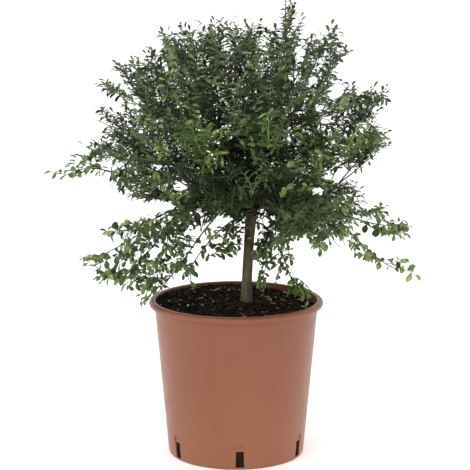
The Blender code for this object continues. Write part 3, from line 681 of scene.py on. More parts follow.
chips = Heap()
for x, y, length, width, turn in CHIPS:
    chip(chips, x, y, length, width, turn, CHIP_TILT)
for _ in range(FLAT_CHIPS):
    spot = spot_on_soil(*FLAT_CHIP_PLACES)
    length, width = chance.uniform(*FLAT_CHIP_LENGTH), chance.uniform(*FLAT_CHIP_WIDTH)
    chip(chips, spot.x, spot.y, length, width, chance.uniform(0, math.tau))

peat = Finish("moist_peat", (0.012, 0.009, 0.006), 0.95, Specular_IOR_Level=0.12)
peat_fine = peat.grain(340, 6)
peat_dark = peat.ramp(peat_fine, [
    (0.3, (0.0025, 0.0018, 0.0015)), (0.52, (0.008, 0.0055, 0.0038)), (0.75, (0.03, 0.019, 0.011)),
])
peat_red = peat.ramp(peat_fine, [
    (0.3, (0.005, 0.0025, 0.0017)), (0.52, (0.019, 0.0095, 0.0052)), (0.75, (0.055, 0.03, 0.016)),
])
peat.colour(peat.blend(peat.range(peat.grain(26, 2), 0, 1, 0.42, 0.6), peat_dark, peat_red))
peat.roughness(peat.range(peat.grain(120), 0.75, 1))
peat.relief(peat.grain(700, 8, (1, 1, 1), 0.7), 0.0011)
dress(compost, [peat], "compost", "soil")

crumb_finish = Finish("bark_crumbs", (0.02, 0.014, 0.009), 0.95, Specular_IOR_Level=0.12)
crumb_finish.clouded([
    (0.36, (0.005, 0.0035, 0.0025)), (0.57, (0.015, 0.009, 0.0055)), (0.72, (0.055, 0.031, 0.018)),
], 260, 5)
crumb_finish.relief(crumb_finish.grain(1500, 4), 0.0003)
clod_finish = Finish("peat_clods", (0.006, 0.004, 0.003), 0.6, Specular_IOR_Level=0.35)
clod_finish.clouded([(0.4, (0.003, 0.0022, 0.0018)), (0.65, (0.016, 0.009, 0.0055))], 200)
clod_finish.relief(clod_finish.grain(900, 5), 0.0006)
fibre_finish = Finish("peat_fibres", (0.06, 0.04, 0.022), 0.9, Specular_IOR_Level=0.3)
fibre_finish.clouded([(0.4, (0.02, 0.012, 0.007)), (0.62, (0.12, 0.08, 0.045))], 90)
fibre_finish.relief(fibre_finish.grain(2500, 2, (1, 1, 4)), 0.0001)
perlite_finish = Finish("perlite", (0.8, 0.78, 0.73), 0.85)
perlite_finish.clouded([(0.3, (0.6, 0.56, 0.49)), (0.55, (0.88, 0.86, 0.82))], 900)
perlite_finish.relief(perlite_finish.grain(2600, 3), 0.0003)
chip_finish = Finish("dry_bark_chips", (0.34, 0.23, 0.15), 0.8, Specular_IOR_Level=0.3)
chip_finish.clouded([
    (0.34, (0.12, 0.065, 0.038)), (0.47, (0.36, 0.25, 0.16)), (0.62, (0.62, 0.52, 0.4)),
], 130)
chip_finish.relief(chip_finish.grain(1800, 3, (1, 1, 3)), 0.0002)
for heap, name, finish in (
    (crumbs, "compost_crumbs", crumb_finish), (clods, "compost_clods", clod_finish),
    (fibres, "compost_fibres", fibre_finish),
    (perlite, "perlite", perlite_finish), (chips, "bark_chips", chip_finish),
):
    piece = heap.piece(name)
    smooth(piece, 30)
    dress(piece, [finish], "compost")


# Trunk: one woody stem, flared where it meets the compost and swollen at its head, where the
# plant was cut back to make it branch. Its bark is thin, grey-brown and finely ridged.
TRUNK_TOP = Vector((0.0225, 0, 0.342))
TRUNK_BOW = Vector((-0.0015, 0.002, 0))
TRUNK_SUNK = 0.004
TRUNK_SIDES = 56
TRUNK_RINGS = 150
FLARE_RADIUS = 0.0082
FLARE_FADE = 8
SHAFT_RADIUS = 0.0062
HEAD_RADIUS = 0.0078
HEAD_FROM = 0.45
HEAD_TO = 0.9
TRUNK_OVER = 0.002  # how far the bark closes over the top of the solid trunk
TRUNK_DOME = 0.004  # over what height it rounds off there
LOBE_HEIGHT, LOBE_FADE = 0.0009, 16  # three lobes round the foot, which fade upwards
KNOT_SHARE = 0.62
KNOTS = (  # of (height, way round in radians, size)
    (0.214, -1.9, 0.0016), (0.236, -0.6, 0.0013), (0.262, 2.4, 0.0015), (0.285, -1.3, 0.0014),
    (0.301, 0.4, 0.0015), (0.249, 1.2, 0.0012), (0.318, -2.2, 0.0018),
)


def trunk_share(height):
    """How far up the trunk a height is, as a share."""
    return (height - TRUNK_FOOT.z) / (TRUNK_TOP.z - TRUNK_FOOT.z)


def trunk_centre(height):
    """The middle of the trunk, which leans and bows a little, at a height."""
    share = trunk_share(height)
    bow = math.sin(math.pi * min(1, max(0, share)))
    return TRUNK_FOOT.lerp(TRUNK_TOP, share) + TRUNK_BOW * bow


def trunk_radius(height):
    """Flared at the foot, slender in the shaft and swollen at the head."""
    share = trunk_share(height)
    flare = (FLARE_RADIUS - SHAFT_RADIUS) * math.exp(-max(0, share) * FLARE_FADE)
    swelling = min(1, max(0, (share - HEAD_FROM) / (HEAD_TO - HEAD_FROM)))
    return SHAFT_RADIUS + flare + (HEAD_RADIUS - SHAFT_RADIUS) * swelling ** 1.5


def bark_relief(place, around, along):
    """How far the bark stands out: long shallow ridges, fine cracks and a few rough patches."""
    ridge = noise.noise(Vector((math.cos(around) * 2.6, math.sin(around) * 2.6, along * 45)))
    crack = noise.noise(Vector((math.cos(around) * 7, math.sin(around) * 7, along * 120)))
    rough = noise.fractal(place * 420, 1, 2.2, 3)
    return ridge * 0.00032 - abs(crack) * 0.00022 + rough * 0.00012


stations = []
lowest, highest = TRUNK_FOOT.z - TRUNK_SUNK, TRUNK_TOP.z + TRUNK_OVER
for ring in range(TRUNK_RINGS + 1):
    height = lowest + (highest - lowest) * ring / TRUNK_RINGS
    dome = min(1, (highest + 0.0006 - height) / TRUNK_DOME)
    stations.append((tuple(trunk_centre(height)), trunk_radius(height) * math.sqrt(max(0.1, dome))))
trunk = draw_up("trunk_bark", stations, TRUNK_SIDES)
for corner in trunk.data.vertices:
    out = corner.co - trunk_centre(corner.co.z)
    out.z = 0
    if out.length < 1e-5:
        continue
    around = math.atan2(out.y, out.x)
    fade = math.exp(-max(0, trunk_share(corner.co.z)) * LOBE_FADE)
    lobes = LOBE_HEIGHT * math.cos(3 * around + 0.6) * fade
    push = bark_relief(corner.co, around, corner.co.z) + lobes
    for height, facing, size in KNOTS:
        gap = math.hypot(corner.co.z - height, math.remainder(around - facing, math.tau) * 0.006)
        push += size * KNOT_SHARE * math.exp(-(gap / size) ** 2 / 1.6)
    corner.co += out.normalized() * push
smooth(trunk, 60)
bark = Finish("grey_brown_bark", (0.12, 0.1, 0.06), 0.85, Specular_IOR_Level=0.15)
streaks = bark.grain(120, 7, (1, 1, 0.22), 0.65)
bark.colour(bark.blend(
    bark.range(bark.grain(46, 4, (1, 1, 0.5)), 0, 0.75, 0.5, 0.64),
    bark.ramp(streaks, [
        (0.32, (0.034, 0.026, 0.014)), (0.5, (0.115, 0.094, 0.054)), (0.68, (0.23, 0.19, 0.12)),
    ]),
    (0.098, 0.108, 0.054),
))
bark.roughness(bark.range(bark.grain(90), 0.72, 0.95))
bark.relief(bark.grain(640, 6, (1, 1, 0.3), 0.65), 0.0005)
dress(trunk, [bark], "bark", "trunk")


# Boughs: the first limbs, in a flat whorl of seven and a steep whorl of four, each from a
# swollen collar on the trunk's head to a knuckle where it was pruned and branched again.
BOUGH_WHORLS = (  # of (name, count, first bearing, rise, length, height on the trunk)
    ("low", 7, -14, 3, 0.064, 0.322),
    ("high", 4, 20, 62, 0.07, 0.342),
)
CLEARANCE = 0.0003
BOUGH_ROOT = 0.003
BOUGH_WAIST = 0.0024
KNUCKLE_RADIUS = 0.0029
KNUCKLE_FROM = 0.7
COLLAR, COLLAR_FADE = 0.0022, 12
BOUGH_SUNK = 0.003  # how far a bough's bark starts inside the trunk's
KNUCKLE_ENDS = ((0.0012, 0.85), (0.0022, 0.45))  # of (how far past the tip, share of the radius)
STAGGER = 0.004
BOUGH_SIDES = 20
BOUGH_RINGS = 40
BOUGH_RING_STEP = 0.0016
SOLID_RINGS = 5


def heading(bearing, rise):
    """A unit vector at a bearing round +Z and a rise above the level, both in degrees."""
    turn, lift = math.radians(bearing), math.radians(rise)
    level = math.cos(lift)
    return Vector((level * math.cos(turn), level * math.sin(turn), math.sin(lift)))


def curve_points(start, first, second, end, count):
    """Points along a cubic curve from start to end with two guides."""
    points = []
    for step in range(count):
        t = step / (count - 1)
        u = 1 - t
        points.append(
            u * u * u * start + 3 * u * u * t * first + 3 * u * t * t * second + t * t * t * end
        )
    return points


def bough_radius(share):
    """A bough's radius by its place along it: it thins from its root and ends in a knuckle."""
    waist = BOUGH_ROOT + (BOUGH_WAIST - BOUGH_ROOT) * min(1, share / KNUCKLE_FROM)
    knuckle = max(0, (share - KNUCKLE_FROM) / (1 - KNUCKLE_FROM)) ** 2
    return waist + (KNUCKLE_RADIUS - BOUGH_WAIST) * knuckle


def plan_boughs():
    """Each bough's guides and centre line, from the trunk's head to its knuckle."""
    planned = []
    for whorl, count, first, rise, length, height in BOUGH_WHORLS:
        for index in range(count):
            bearing = first + 360 * index / count
            out, ahead = heading(bearing, 0), heading(bearing, rise)
            if whorl == "low":
                step = 0 if index == count - 1 else STAGGER * (-1) ** (index + 1)
                level = height + step
                start = trunk_centre(level) + out * (trunk_radius(level) + CLEARANCE)
                leaving = out
            else:
                start = TRUNK_TOP + UP * CLEARANCE + out * (HEAD_RADIUS - BOUGH_ROOT)
                leaving = UP
            knuckle = start + ahead * length
            guides = (start, start + leaving * length / 3, knuckle - ahead * length / 3, knuckle)
            planned.append({
                "name": f"bough_{whorl}_{index + 1}", "guides": guides, "leaving": leaving,
                "points": curve_points(*guides, SOLID_RINGS), "stems": [],
            })
    return planned


boughs = plan_boughs()
for bough in boughs:
    line = curve_points(*bough["guides"], BOUGH_RINGS)
    ahead = (line[-1] - line[-2]).normalized()
    line = [line[0] - bough["leaving"] * BOUGH_SUNK] + line
    line += [line[-1] + ahead * past for past, _ in KNUCKLE_ENDS]
    radii = []
    for index in range(len(line)):
        share = min(1, max(0, (index - 1) / (BOUGH_RINGS - 1)))
        radii.append(bough_radius(share) + COLLAR * math.exp(-share * COLLAR_FADE))
    for index, (_, share) in enumerate(KNUCKLE_ENDS, start=-len(KNUCKLE_ENDS)):
        radii[index] *= share
    heap = Heap()
    heap.add(*tube(line, radii, BOUGH_SIDES))
    limb = heap.piece(bough["name"] + "_bark")
    for number, corner in enumerate(limb.data.vertices):
        ring, step = divmod(number, BOUGH_SIDES)
        out = (corner.co - line[ring]).normalized()
        relief = bark_relief(corner.co, math.tau * step / BOUGH_SIDES, ring * BOUGH_RING_STEP)
        corner.co += out * relief * 0.8
    smooth(limb, 60)
    dress(limb, [bark], "bark", bough["name"])


# Stems and twigs: each stem leaves a knuckle and runs through its own mass of foliage, with
# twigs in turn round it. Where they grow is worked out by the same seeded rule as the solids.
MASS_TIERS = (  # of (name, count, first bearing, step, rise, reach, droop)
    ("top", 5, 168, 72, 62, 0.238, -0.35),
    ("upper", 7, 180, 360 / 7, 40, 0.234, -0.35),
    ("middle", 5, 222, 72, 14, 0.205, 0.2),
    ("back", 2, 68, 44, -12, 0.19, 0.2),
)
SPRAYS = (  # of (name, bearing, rise, reach, droop, spread)
    ("spire", 8, 80, 0.262, -0.1, 0.42),
    ("left_shoulder", 176, 25, 0.244, 0, 0.8),
    ("far_left", 184, 6, 0.264, 0.55, 0.24),
    ("left_skirt", 190, -17, 0.212, 0.1, 0.45),
    ("left_skirt_low", 174, -25, 0.254, -0.1, 0.55),
    ("left_skirt_lower", 186, -34, 0.242, -0.2, 0.6),
    ("left_skirt_inner", 198, -45, 0.21, -0.1, 0.6),
    ("right_edge", 2, 20, 0.205, 0.3, 0.8),
    ("right_skirt", -10, -14, 0.212, -0.2, 0.45),
    ("right_skirt_low", 8, -31, 0.248, -0.25, 0.35),
    ("right_skirt_inner", -34, -18, 0.152, 0.4, 0.7),
)
TRUNK_SPRAYS = (  # of (name, bearing, height, length, drop, droop, spread)
    ("trunk_right", 6, 0.296, 0.05, 0.09, 1, 0.7),
    ("trunk_left", 206, 0.306, 0.078, 0.064, 1, 0.65),
)
CROWN_LEAN = 0.06
CROWN_FRONT = 0.03
STEM_SHARE = 0.85
TIP_SHARE = 0.93  # where a stem ends at most, as a share of the crown's outline
TIP_STEP = 0.97  # by how much a stem is shortened at a time until it ends there
STEMS_PER_BOUGH = 3
STEM_ROOT = 0.0015
STEM_TIP = 0.0006
STEM_RING = (0, 0, 0.0016, 0.0018)
STEM_LEAVING = 0.22
STEM_RINGS = 6  # of the solid stem, by which its room is measured
STEM_POINTS = 26
STEM_SIDES = 7
STEM_SWAY = 0.002
STEM_SUNK = 0.0018  # how far a stem starts inside its knuckle
STEM_NECK = 0.85  # its radius where it comes out, as a share
LIMB_FLATS = 3
FLAT_SWING = math.radians(14)
TWIG_FROM = 0.14
TWIG_STEP = 0.024
TWIG_LENGTH = 0.074
TWIG_ROOT = 0.0012
TWIG_TIP = 0.0004
TWIG_NECK = 0.7  # the seen twig's root, as a share of the solid one's
TWIG_POINTS = 10
TWIG_SIDES = 6
TWIG_SWAY = 0.0015
TWIG_ANGLE = math.radians(50)
TWIG_BEND = 0.45
TWIG_SWING = (0.85, 1.12)
TWIG_STEP_SWING = (0.85, 1.15)
TWIG_TRIES = (1, 0.8, 0.6)
ANGLE_SWING = math.radians(10)
TWIG_MARGIN = 2 * TWIG_ROOT + 0.0006
LIMB_MARGIN = 0.0012
POT_MARGIN = 0.005
CLOSE = 0.002
SEED = 11

# The crown's outline from the photographed side: how far it reaches from its heart, by the
# direction in degrees round from the right. Windows are gaps in it that show sky.
CROWN_HEART = (0.024, 0.06)
CROWN_OUTLINE = (
    (-72, 0.085), (-54, 0.085), (-47, 0.1), (-40, 0.12), (-35, 0.125), (-32.5, 0.175),
    (-30.5, 0.218), (-27, 0.242), (-25, 0.24), (-23.5, 0.16), (-20, 0.15), (-18.5, 0.2),
    (-12, 0.206), (-11.3, 0.198), (-10.5, 0.165), (-8, 0.168), (0, 0.168), (3, 0.138), (6, 0.12),
    (9, 0.135), (13, 0.168), (20, 0.192), (30, 0.198), (37, 0.214), (42, 0.19), (47, 0.176),
    (50.5, 0.174), (52.5, 0.198), (55.5, 0.214), (58, 0.204), (61, 0.235), (63.5, 0.242),
    (65.5, 0.224), (71, 0.22), (72.5, 0.231), (75, 0.231), (76.5, 0.224), (77.7, 0.246),
    (81.2, 0.246), (82.3, 0.214), (83.5, 0.202), (86, 0.205), (96, 0.213), (104, 0.218),
    (114, 0.226), (119, 0.23), (123, 0.244), (127, 0.222), (133, 0.222), (137, 0.237),
    (141, 0.221), (146, 0.238), (150, 0.2), (152.5, 0.238), (155, 0.246), (157, 0.212),
    (162, 0.204), (165.5, 0.226), (170, 0.232), (173, 0.262), (176.5, 0.266), (177.5, 0.206),
    (179, 0.172), (181, 0.162), (184.5, 0.155), (187, 0.143), (193.5, 0.14), (195, 0.188),
    (196.5, 0.201), (198, 0.192), (199, 0.16), (201.3, 0.175), (202, 0.236), (203, 0.249),
    (206, 0.232), (210, 0.238), (214, 0.238), (217, 0.217), (221, 0.197), (226, 0.206),
    (229, 0.19), (233, 0.15), (238, 0.13), (246, 0.11), (258, 0.085), (288, 0.09),
)
WINDOWS = (  # of (across, up, half width, half height)
    (-0.0154, 0.0165, 0.01, 0.01), (-0.0319, 0.0013, 0.013, 0.013),
    (-0.045, -0.014, 0.0125, 0.01), (-0.009, -0.045, 0.015, 0.011),
    (0.103, -0.039, 0.028, 0.022), (0.159, 0.077, 0.032, 0.011), (-0.172, 0.07, 0.03, 0.01),
    (-0.168, 0.044, 0.036, 0.014), (-0.162, -0.014, 0.016, 0.009), (0.184, -0.017, 0.016, 0.008),
    (0.164, -0.008, 0.014, 0.008), (0.157, 0.0076, 0.011, 0.008), (0.19, 0.023, 0.006, 0.008),
    (-0.1, 0.038, 0.013, 0.007), (-0.07, 0.063, 0.011, 0.006), (-0.157, 0.163, 0.012, 0.008),
    (0.081, 0.24, 0.005, 0.013), (0.106, 0.221, 0.006, 0.008), (0.125, 0.181, 0.009, 0.008),
)
TRUNK_WINDOW = (0.0181, -0.0215, 0.0105, 0.053)
GAPS_MM = (  # of (across, up, half width, half height), gaps between the shoots alone
    (187, 146, 12, 10), (166, 60, 14, 8), (175, 51, 12, 7), (128, 75, 12, 7), (-180, -49, 9, 9),
    (-133, -3, 15, 9), (189, 23, 10, 7), (200, 137, 10, 8), (-57, -20, 11, 9), (-101, 244, 9, 8),
    (114, 139, 7, 5), (94, 265, 8, 10), (128, 179, 8, 6), (160, 188, 10, 8), (80, -10, 9, 8),
    (-108, -25, 7, 6), (163, 137, 6, 6), (-25, -22, 7, 6), (-139, -39, 8, 6), (51, -24, 6, 6),
    (-40, -80, 32, 12), (-98, -84, 13, 10), (-72, -78, 20, 12), (184, -37, 12, 6),
    (57, 266, 7, 12), (-154, -62, 11, 9), (34, 14, 8, 9), (-91, -64, 11, 8), (-152, 165, 12, 8),
    (-157, 90, 9, 6), (-172, 86, 10, 6), (-84, 38, 9, 6), (130, -9, 10, 8), (-171, 149, 9, 8),
    (-73, -57, 12, 7), (104, 56, 7, 5), (81, 223, 6, 7), (147, 87, 10, 6), (144, -20, 10, 7),
    (133, 209, 8, 8), (129, 249, 7, 8), (-53, 0, 7, 6), (191, 138, 7, 6), (-162, 84, 10, 6),
    (-157, -20, 9, 7), (-136, 186, 6, 6), (161, -26, 9, 6), (116, 147, 6, 5), (98, 197, 5, 6),
    (136, 73, 10, 6), (135, 11, 6, 5), (76, 201, 8, 7), (-128, 165, 9, 7), (-47, 28, 8, 6),
    (37, 28, 7, 5), (-101, 87, 7, 6), (109, 162, 7, 6), (166, 16, 8, 6), (111, -14, 7, 6),
    (-160, 138, 9, 7), (9, -9, 5, 7), (-132, -61, 9, 7), (-34, -47, 13, 10), (125, -13, 10, 8),
    (184, 20, 8, 6), (-99, -67, 9, 7), (165, -29, 8, 5), (-89, 23, 7, 6), (-91, -14, 6, 5),
    (-11, 243, 6, 7),
)
SMALL_GAPS = [[part / 1000 for part in gap] for gap in GAPS_MM]


def seen_from_front(point):
    """Where a point shows from the photographed side, across and up from the view's middle."""
    away = point - camera_place
    depth = -away.dot(back)
    lift = Vector((0, back.z, -back.y))
    return away.x * DISTANCE / depth, away.dot(lift) * DISTANCE / depth


def in_window(point, windows):
    """Whether a point shows in one of the windows."""
    across, up = seen_from_front(point)
    for middle, level, wide, high in windows:
        if math.hypot((across - middle) / wide, (up - level) / high) < 1:
            return True
    return False


def outline_reach(angle):
    """How far the outline is from the crown's heart in a direction."""
    for (low, near), (high, far) in zip(CROWN_OUTLINE, CROWN_OUTLINE[1:]):
        if angle <= high:
            return near + (far - near) * (angle - low) / (high - low)
    return CROWN_OUTLINE[-1][1]


def in_outline(point, share=1):
    """Whether a point shows inside the crown's outline, scaled by a share."""
    across, up = seen_from_front(point)
    right, rise = across - CROWN_HEART[0], up - CROWN_HEART[1]
    first = CROWN_OUTLINE[0][0]
    angle = (math.degrees(math.atan2(rise, right)) - first) % 360 + first
    return math.hypot(right, rise) < share * outline_reach(angle)


def plan_masses():
    """Every mass's name, tip, reach, droop and spread, and its start where the trunk bears it."""
    planned = []
    for tier, count, first, step, rise, reach, droop in MASS_TIERS:
        for index in range(count):
            toward = heading(first + step * index, rise)
            limit = reach * (1 - CROWN_LEAN * toward.x - CROWN_FRONT * toward.y)
            planned.append({
                "name": f"foliage_{tier}_{index + 1}",
                "tip": TRUNK_TOP + toward * limit * STEM_SHARE,
                "reach": limit, "droop": droop, "spread": 1, "borne": False, "rise": rise,
                "in_crown": True,
            })
    for name, bearing, rise, reach, droop, spread in SPRAYS:
        planned.append({
            "name": f"foliage_{name}",
            "tip": TRUNK_TOP + heading(bearing, rise) * reach * STEM_SHARE,
            "reach": reach, "droop": droop, "spread": spread, "borne": False, "rise": rise,
            "in_crown": True,
        })
    for mass in planned:
        while not in_outline(mass["tip"], TIP_SHARE) or in_window(mass["tip"], WINDOWS):
            mass["tip"] = TRUNK_TOP.lerp(mass["tip"], TIP_STEP)
    for name, bearing, height, length, drop, droop, spread in TRUNK_SPRAYS:
        way = heading(bearing, 0)
        start = trunk_centre(height) + way * (trunk_radius(height) + CLEARANCE)
        planned.append({
            "name": f"foliage_{name}", "tip": start + way * length - UP * drop,
            "reach": (start - TRUNK_TOP).length + length + drop, "droop": droop,
            "spread": spread, "borne": True, "start": start, "leaving": way, "rise": -60,
            "in_crown": False,
        })
    return planned


def share_out(masses, boughs):
    """Gives the masses to the boughs that point best at them, the best match first."""
    matches = []
    for mass in masses:
        for bough in boughs:
            knuckle, before = bough["points"][-1], bough["points"][-2]
            turn = (knuckle - before).angle(mass["tip"] - knuckle)
            matches.append((turn, mass["name"], mass, bough))
    matches.sort(key=lambda match: match[:2])
    for _, _, mass, bough in matches:
        if not mass["borne"] and len(bough["stems"]) < STEMS_PER_BOUGH:
            bough["stems"].append(mass)
            mass["borne"] = True


def seat_stems(boughs):
    """Spreads the stems evenly round each knuckle, so that they leave it side by side."""
    for bough in boughs:
        knuckle, before = bough["points"][-1], bough["points"][-2]
        ahead = (knuckle - before).normalized()
        across = ahead.cross(UP).normalized()
        above = across.cross(ahead)
        stems = bough["stems"]
        for mass in stems:
            toward = (mass["tip"] - knuckle).normalized()
            mass["turn"] = math.atan2(toward.dot(above), toward.dot(across)) % math.tau
        stems.sort(key=lambda mass: mass["turn"])
        gap = math.tau / max(1, len(stems))
        offsets = [mass["turn"] - gap * place for place, mass in enumerate(stems)]
        turned = math.atan2(sum(map(math.sin, offsets)), sum(map(math.cos, offsets)))
        for place, mass in enumerate(stems):
            angle = turned + gap * place
            side = across * math.cos(angle) + above * math.sin(angle)
            mass["start"] = knuckle + ahead * CLEARANCE + side * STEM_RING[len(stems)]
            mass["leaving"] = ahead


def stem_line(mass, count):
    """The stem's centre line: it leaves along its limb and then rises or droops to its tip."""
    start, tip = mass["start"], mass["tip"]
    length = (tip - start).length
    toward = (tip - start).normalized()
    arriving = (toward - UP * mass["droop"]).normalized()
    first = start + mass["leaving"] * length * STEM_LEAVING
    return curve_points(start, first, tip - arriving * length / 3, tip, count)


def dense(points, step):
    """The same line with points close together."""
    made = []
    for begin, end in zip(points, points[1:]):
        count = max(1, math.ceil((end - begin).length / step))
        made += [begin.lerp(end, part / count) for part in range(count)]
    return made + [points[-1]]


def line_length(points):
    """How long a line is."""
    return sum((end - begin).length for begin, end in zip(points, points[1:]))


def tree_of(points):
    """A tree in which the nearest of the points is found."""
    tree = kdtree.KDTree(len(points))
    for index, point in enumerate(points):
        tree.insert(point, index)
    tree.balance()
    return tree


class Space:
    """The room for each mass: nearer to its stem than to another, clear of limbs, in its reach."""

    def __init__(self, masses, limbs):
        lines = {mass["name"]: dense(mass["line"], CLOSE) for mass in masses}
        self.masses = {mass["name"]: mass for mass in masses}
        self.own = {name: tree_of(line) for name, line in lines.items()}
        self.others = {}
        for name in lines:
            rest = [point for other, line in lines.items() if other != name for point in line]
            self.others[name] = tree_of(rest)
        self.limbs = []
        for points, radii in limbs:
            for index in range(len(points) - 1):
                part = dense(points[index:index + 2], CLOSE)
                self.limbs += [(point, max(radii[index:index + 2])) for point in part]
        self.limb_tree = tree_of([point for point, _ in self.limbs])
        self.widest = max(radius for _, radius in self.limbs)

    def off_limbs(self, point, margin):
        """Whether a point keeps its distance from the bark of the trunk and the boughs."""
        for _, index, away in self.limb_tree.find_range(point, self.widest + margin):
            if away < self.limbs[index][1] + margin:
                return False
        return True

    def holds(self, mass, point, margin):
        """Whether a point is in the mass's own room."""
        if (point - TRUNK_TOP).length > mass["reach"] or in_window(point, WINDOWS):
            return False
        if mass["in_crown"] and not in_outline(point):
            return False
        near = self.own[mass["name"]].find(point)[2]
        far = self.others[mass["name"]].find(point)[2]
        if far - near < margin:
            return False
        in_its_round = math.hypot(point.x, point.y) < RIM_RADIUS + POT_MARGIN
        if in_its_round and point.z < POT_HEIGHT + POT_MARGIN:
            return False
        return self.off_limbs(point, LIMB_MARGIN)


def turned_about(axis, vector, angle):
    """The vector, turned about the axis."""
    return Quaternion(axis, angle) @ vector


def side_of(along, normal, turn):
    """The way out of a limb, turned about it from where its corners are counted."""
    across = (normal - along * normal.dot(along)).normalized()
    return turned_about(along, across, turn)


def place_on(points, share):
    """The point part of the way along a line, and the line's direction there."""
    index = min(len(points) - 2, int(share * (len(points) - 1)))
    return points[index], (points[index + 1] - points[max(0, index - 1)]).normalized()


def flat_side(along, normal, number, chance):
    """The way out of one flat of a limb, the next flat each time."""
    turn = math.tau * (number + 0.5) / LIMB_FLATS + chance.uniform(-FLAT_SWING, FLAT_SWING)
    return side_of(along, normal, turn)


def branching(along, side, angle, chance):
    """The way in which a twig leaves the limb that bears it."""
    swung = angle + chance.uniform(-ANGLE_SWING, ANGLE_SWING)
    return (along * math.cos(swung) + side * math.sin(swung)).normalized()


def twig_line(start, along, side, length, chance):
    """A twig leaves its stem at an angle, and then bends forwards and upwards a little."""
    out = branching(along, side, TWIG_ANGLE, chance)
    onward = (out + along * 0.3 + UP * 0.25).normalized()
    bend = start + out * length * TWIG_BEND
    return [start, bend, bend + onward * length * (1 - TWIG_BEND)]


def twig_share(place):
    """How long a twig is for its place along the stem: longest a third of the way out."""
    return min(1, 0.55 + place * 1.6) * min(1, 0.34 + (1 - place) * 1.35)


def grow_twigs(mass, space, chance):
    """The centre lines of a mass's twigs, in turn round its stem, where there is room for them."""
    line = dense(mass["line"], CLOSE)
    length = line_length(line)
    normal = first_normal(mass["leaving"])
    twigs = []
    number = chance.randrange(LIMB_FLATS)
    travelled = TWIG_FROM * length
    while travelled < length:
        place = travelled / length
        start, along = place_on(line, place)
        number += 1
        full = TWIG_LENGTH * mass["spread"] * twig_share(place) * chance.uniform(*TWIG_SWING)
        for share in TWIG_TRIES:
            side = flat_side(along, normal, number, chance)
            twig = twig_line(start, along, side, full * share, chance)
            points = dense(twig[1:], 2 * CLOSE)
            if all(space.holds(mass, point, TWIG_MARGIN) for point in points):
                twigs.append(twig)
                break
        travelled += TWIG_STEP * chance.uniform(*TWIG_STEP_SWING)
    return twigs


masses = plan_masses()
share_out(masses, boughs)
seat_stems(boughs)
for mass in masses:
    mass["line"] = stem_line(mass, STEM_RINGS)
rise = TRUNK_TOP.z - TRUNK_FOOT.z
levels = [TRUNK_FOOT.z + rise * (ring / 10) ** 1.4 for ring in range(11)]
limbs = [([trunk_centre(level) for level in levels], [trunk_radius(level) for level in levels])]
shares = [ring / (SOLID_RINGS - 1) for ring in range(SOLID_RINGS)]
for bough in boughs:
    limbs.append((bough["points"], [bough_radius(share) for share in shares]))
space = Space(masses, limbs)


def wavy(points, sway, chance):
    """The line with a little sway between its ends, as a real twig has."""
    seedling = chance.uniform(0, 50)
    made = []
    for index, point in enumerate(points):
        share = index / (len(points) - 1)
        spots = [Vector((seedling + 9 * axis, share * 3.2, 0)) for axis in range(3)]
        push = Vector([noise.noise(spot) for spot in spots])
        made.append(point + push * sway * math.sin(math.pi * share))
    return made


def tapering(root, tip, count):
    """Radii that go evenly from the root's to the tip's."""
    return [root + (tip - root) * step / (count - 1) for step in range(count)]


wood = Heap()
for mass in masses:
    mass["twigs"] = grow_twigs(mass, space, random.Random(f"{mass['name']} {SEED}"))
    sway = random.Random(f"sway {mass['name']}")
    mass["fine"] = wavy(stem_line(mass, STEM_POINTS), STEM_SWAY, sway)
    stem = [mass["fine"][0] - mass["leaving"] * STEM_SUNK] + mass["fine"]
    radii = [STEM_ROOT] + tapering(STEM_ROOT * STEM_NECK, STEM_TIP, STEM_POINTS)
    wood.add(*tube(stem, radii, STEM_SIDES))
    mass["fine_twigs"] = []
    for start, bend, tip in mass["twigs"]:
        if not mass["in_crown"] and in_window(tip, SMALL_GAPS):
            continue
        line = curve_points(start, start.lerp(bend, 0.6), bend.lerp(tip, 0.25), tip, TWIG_POINTS)
        line = wavy(line, TWIG_SWAY, sway)
        mass["fine_twigs"].append(line)
        wood.add(*tube(line, tapering(TWIG_ROOT * TWIG_NECK, TWIG_TIP, TWIG_POINTS), TWIG_SIDES))


# Inner twigs: the small growth on the boughs themselves and on the trunk's head, which fills
# the crown's heart. It is thin wood of the same bark, and its leaves are darkest: painted shade.
INNER_FROM = 0.12
INNER_STEP = 0.0058
INNER_LENGTH = (0.03, 0.062)
INNER_ROOT = 0.0009
INNER_ANGLE = (50, 85)
INNER_POINTS = 7
INNER_SIDES = 5
INNER_MARGIN = 0.0006
GOLDEN_TURN = math.radians(137.5)
TURN_SWING = 0.3
HEAD_LEVELS = (0.316, 0.328)
HEAD_ROUNDS = 3


def grow_inner(line, chance):
    """Short twigs in turn along a bough or the trunk's head, out of its surface."""
    points = dense(line, CLOSE)
    length = line_length(points)
    normal = first_normal((points[1] - points[0]).normalized())
    turn = chance.uniform(0, math.tau)
    grown = []
    travelled = INNER_FROM * length
    while travelled < length:
        start, along = place_on(points, travelled / length)
        turn += GOLDEN_TURN + chance.uniform(-TURN_SWING, TURN_SWING)
        side = side_of(along, normal, turn)
        angle = math.radians(chance.uniform(*INNER_ANGLE))
        out = along * math.cos(angle) + side * math.sin(angle)
        reach = chance.uniform(*INNER_LENGTH)
        onward = (out + along * 0.3 + UP * 0.3).normalized()
        tip = start + out * reach * 0.5 + onward * reach * 0.5
        guides = (start + out * reach * 0.3, tip - onward * reach * 0.3)
        twig = curve_points(start, *guides, tip, INNER_POINTS)
        clear = all(
            in_outline(point) and space.off_limbs(point, INNER_MARGIN) for point in twig[3:]
        )
        if clear and not in_window(twig[-1], WINDOWS):
            grown.append(wavy(twig, STEM_SWAY, chance))
        travelled += INNER_STEP * chance.uniform(0.8, 1.2)
    return grown


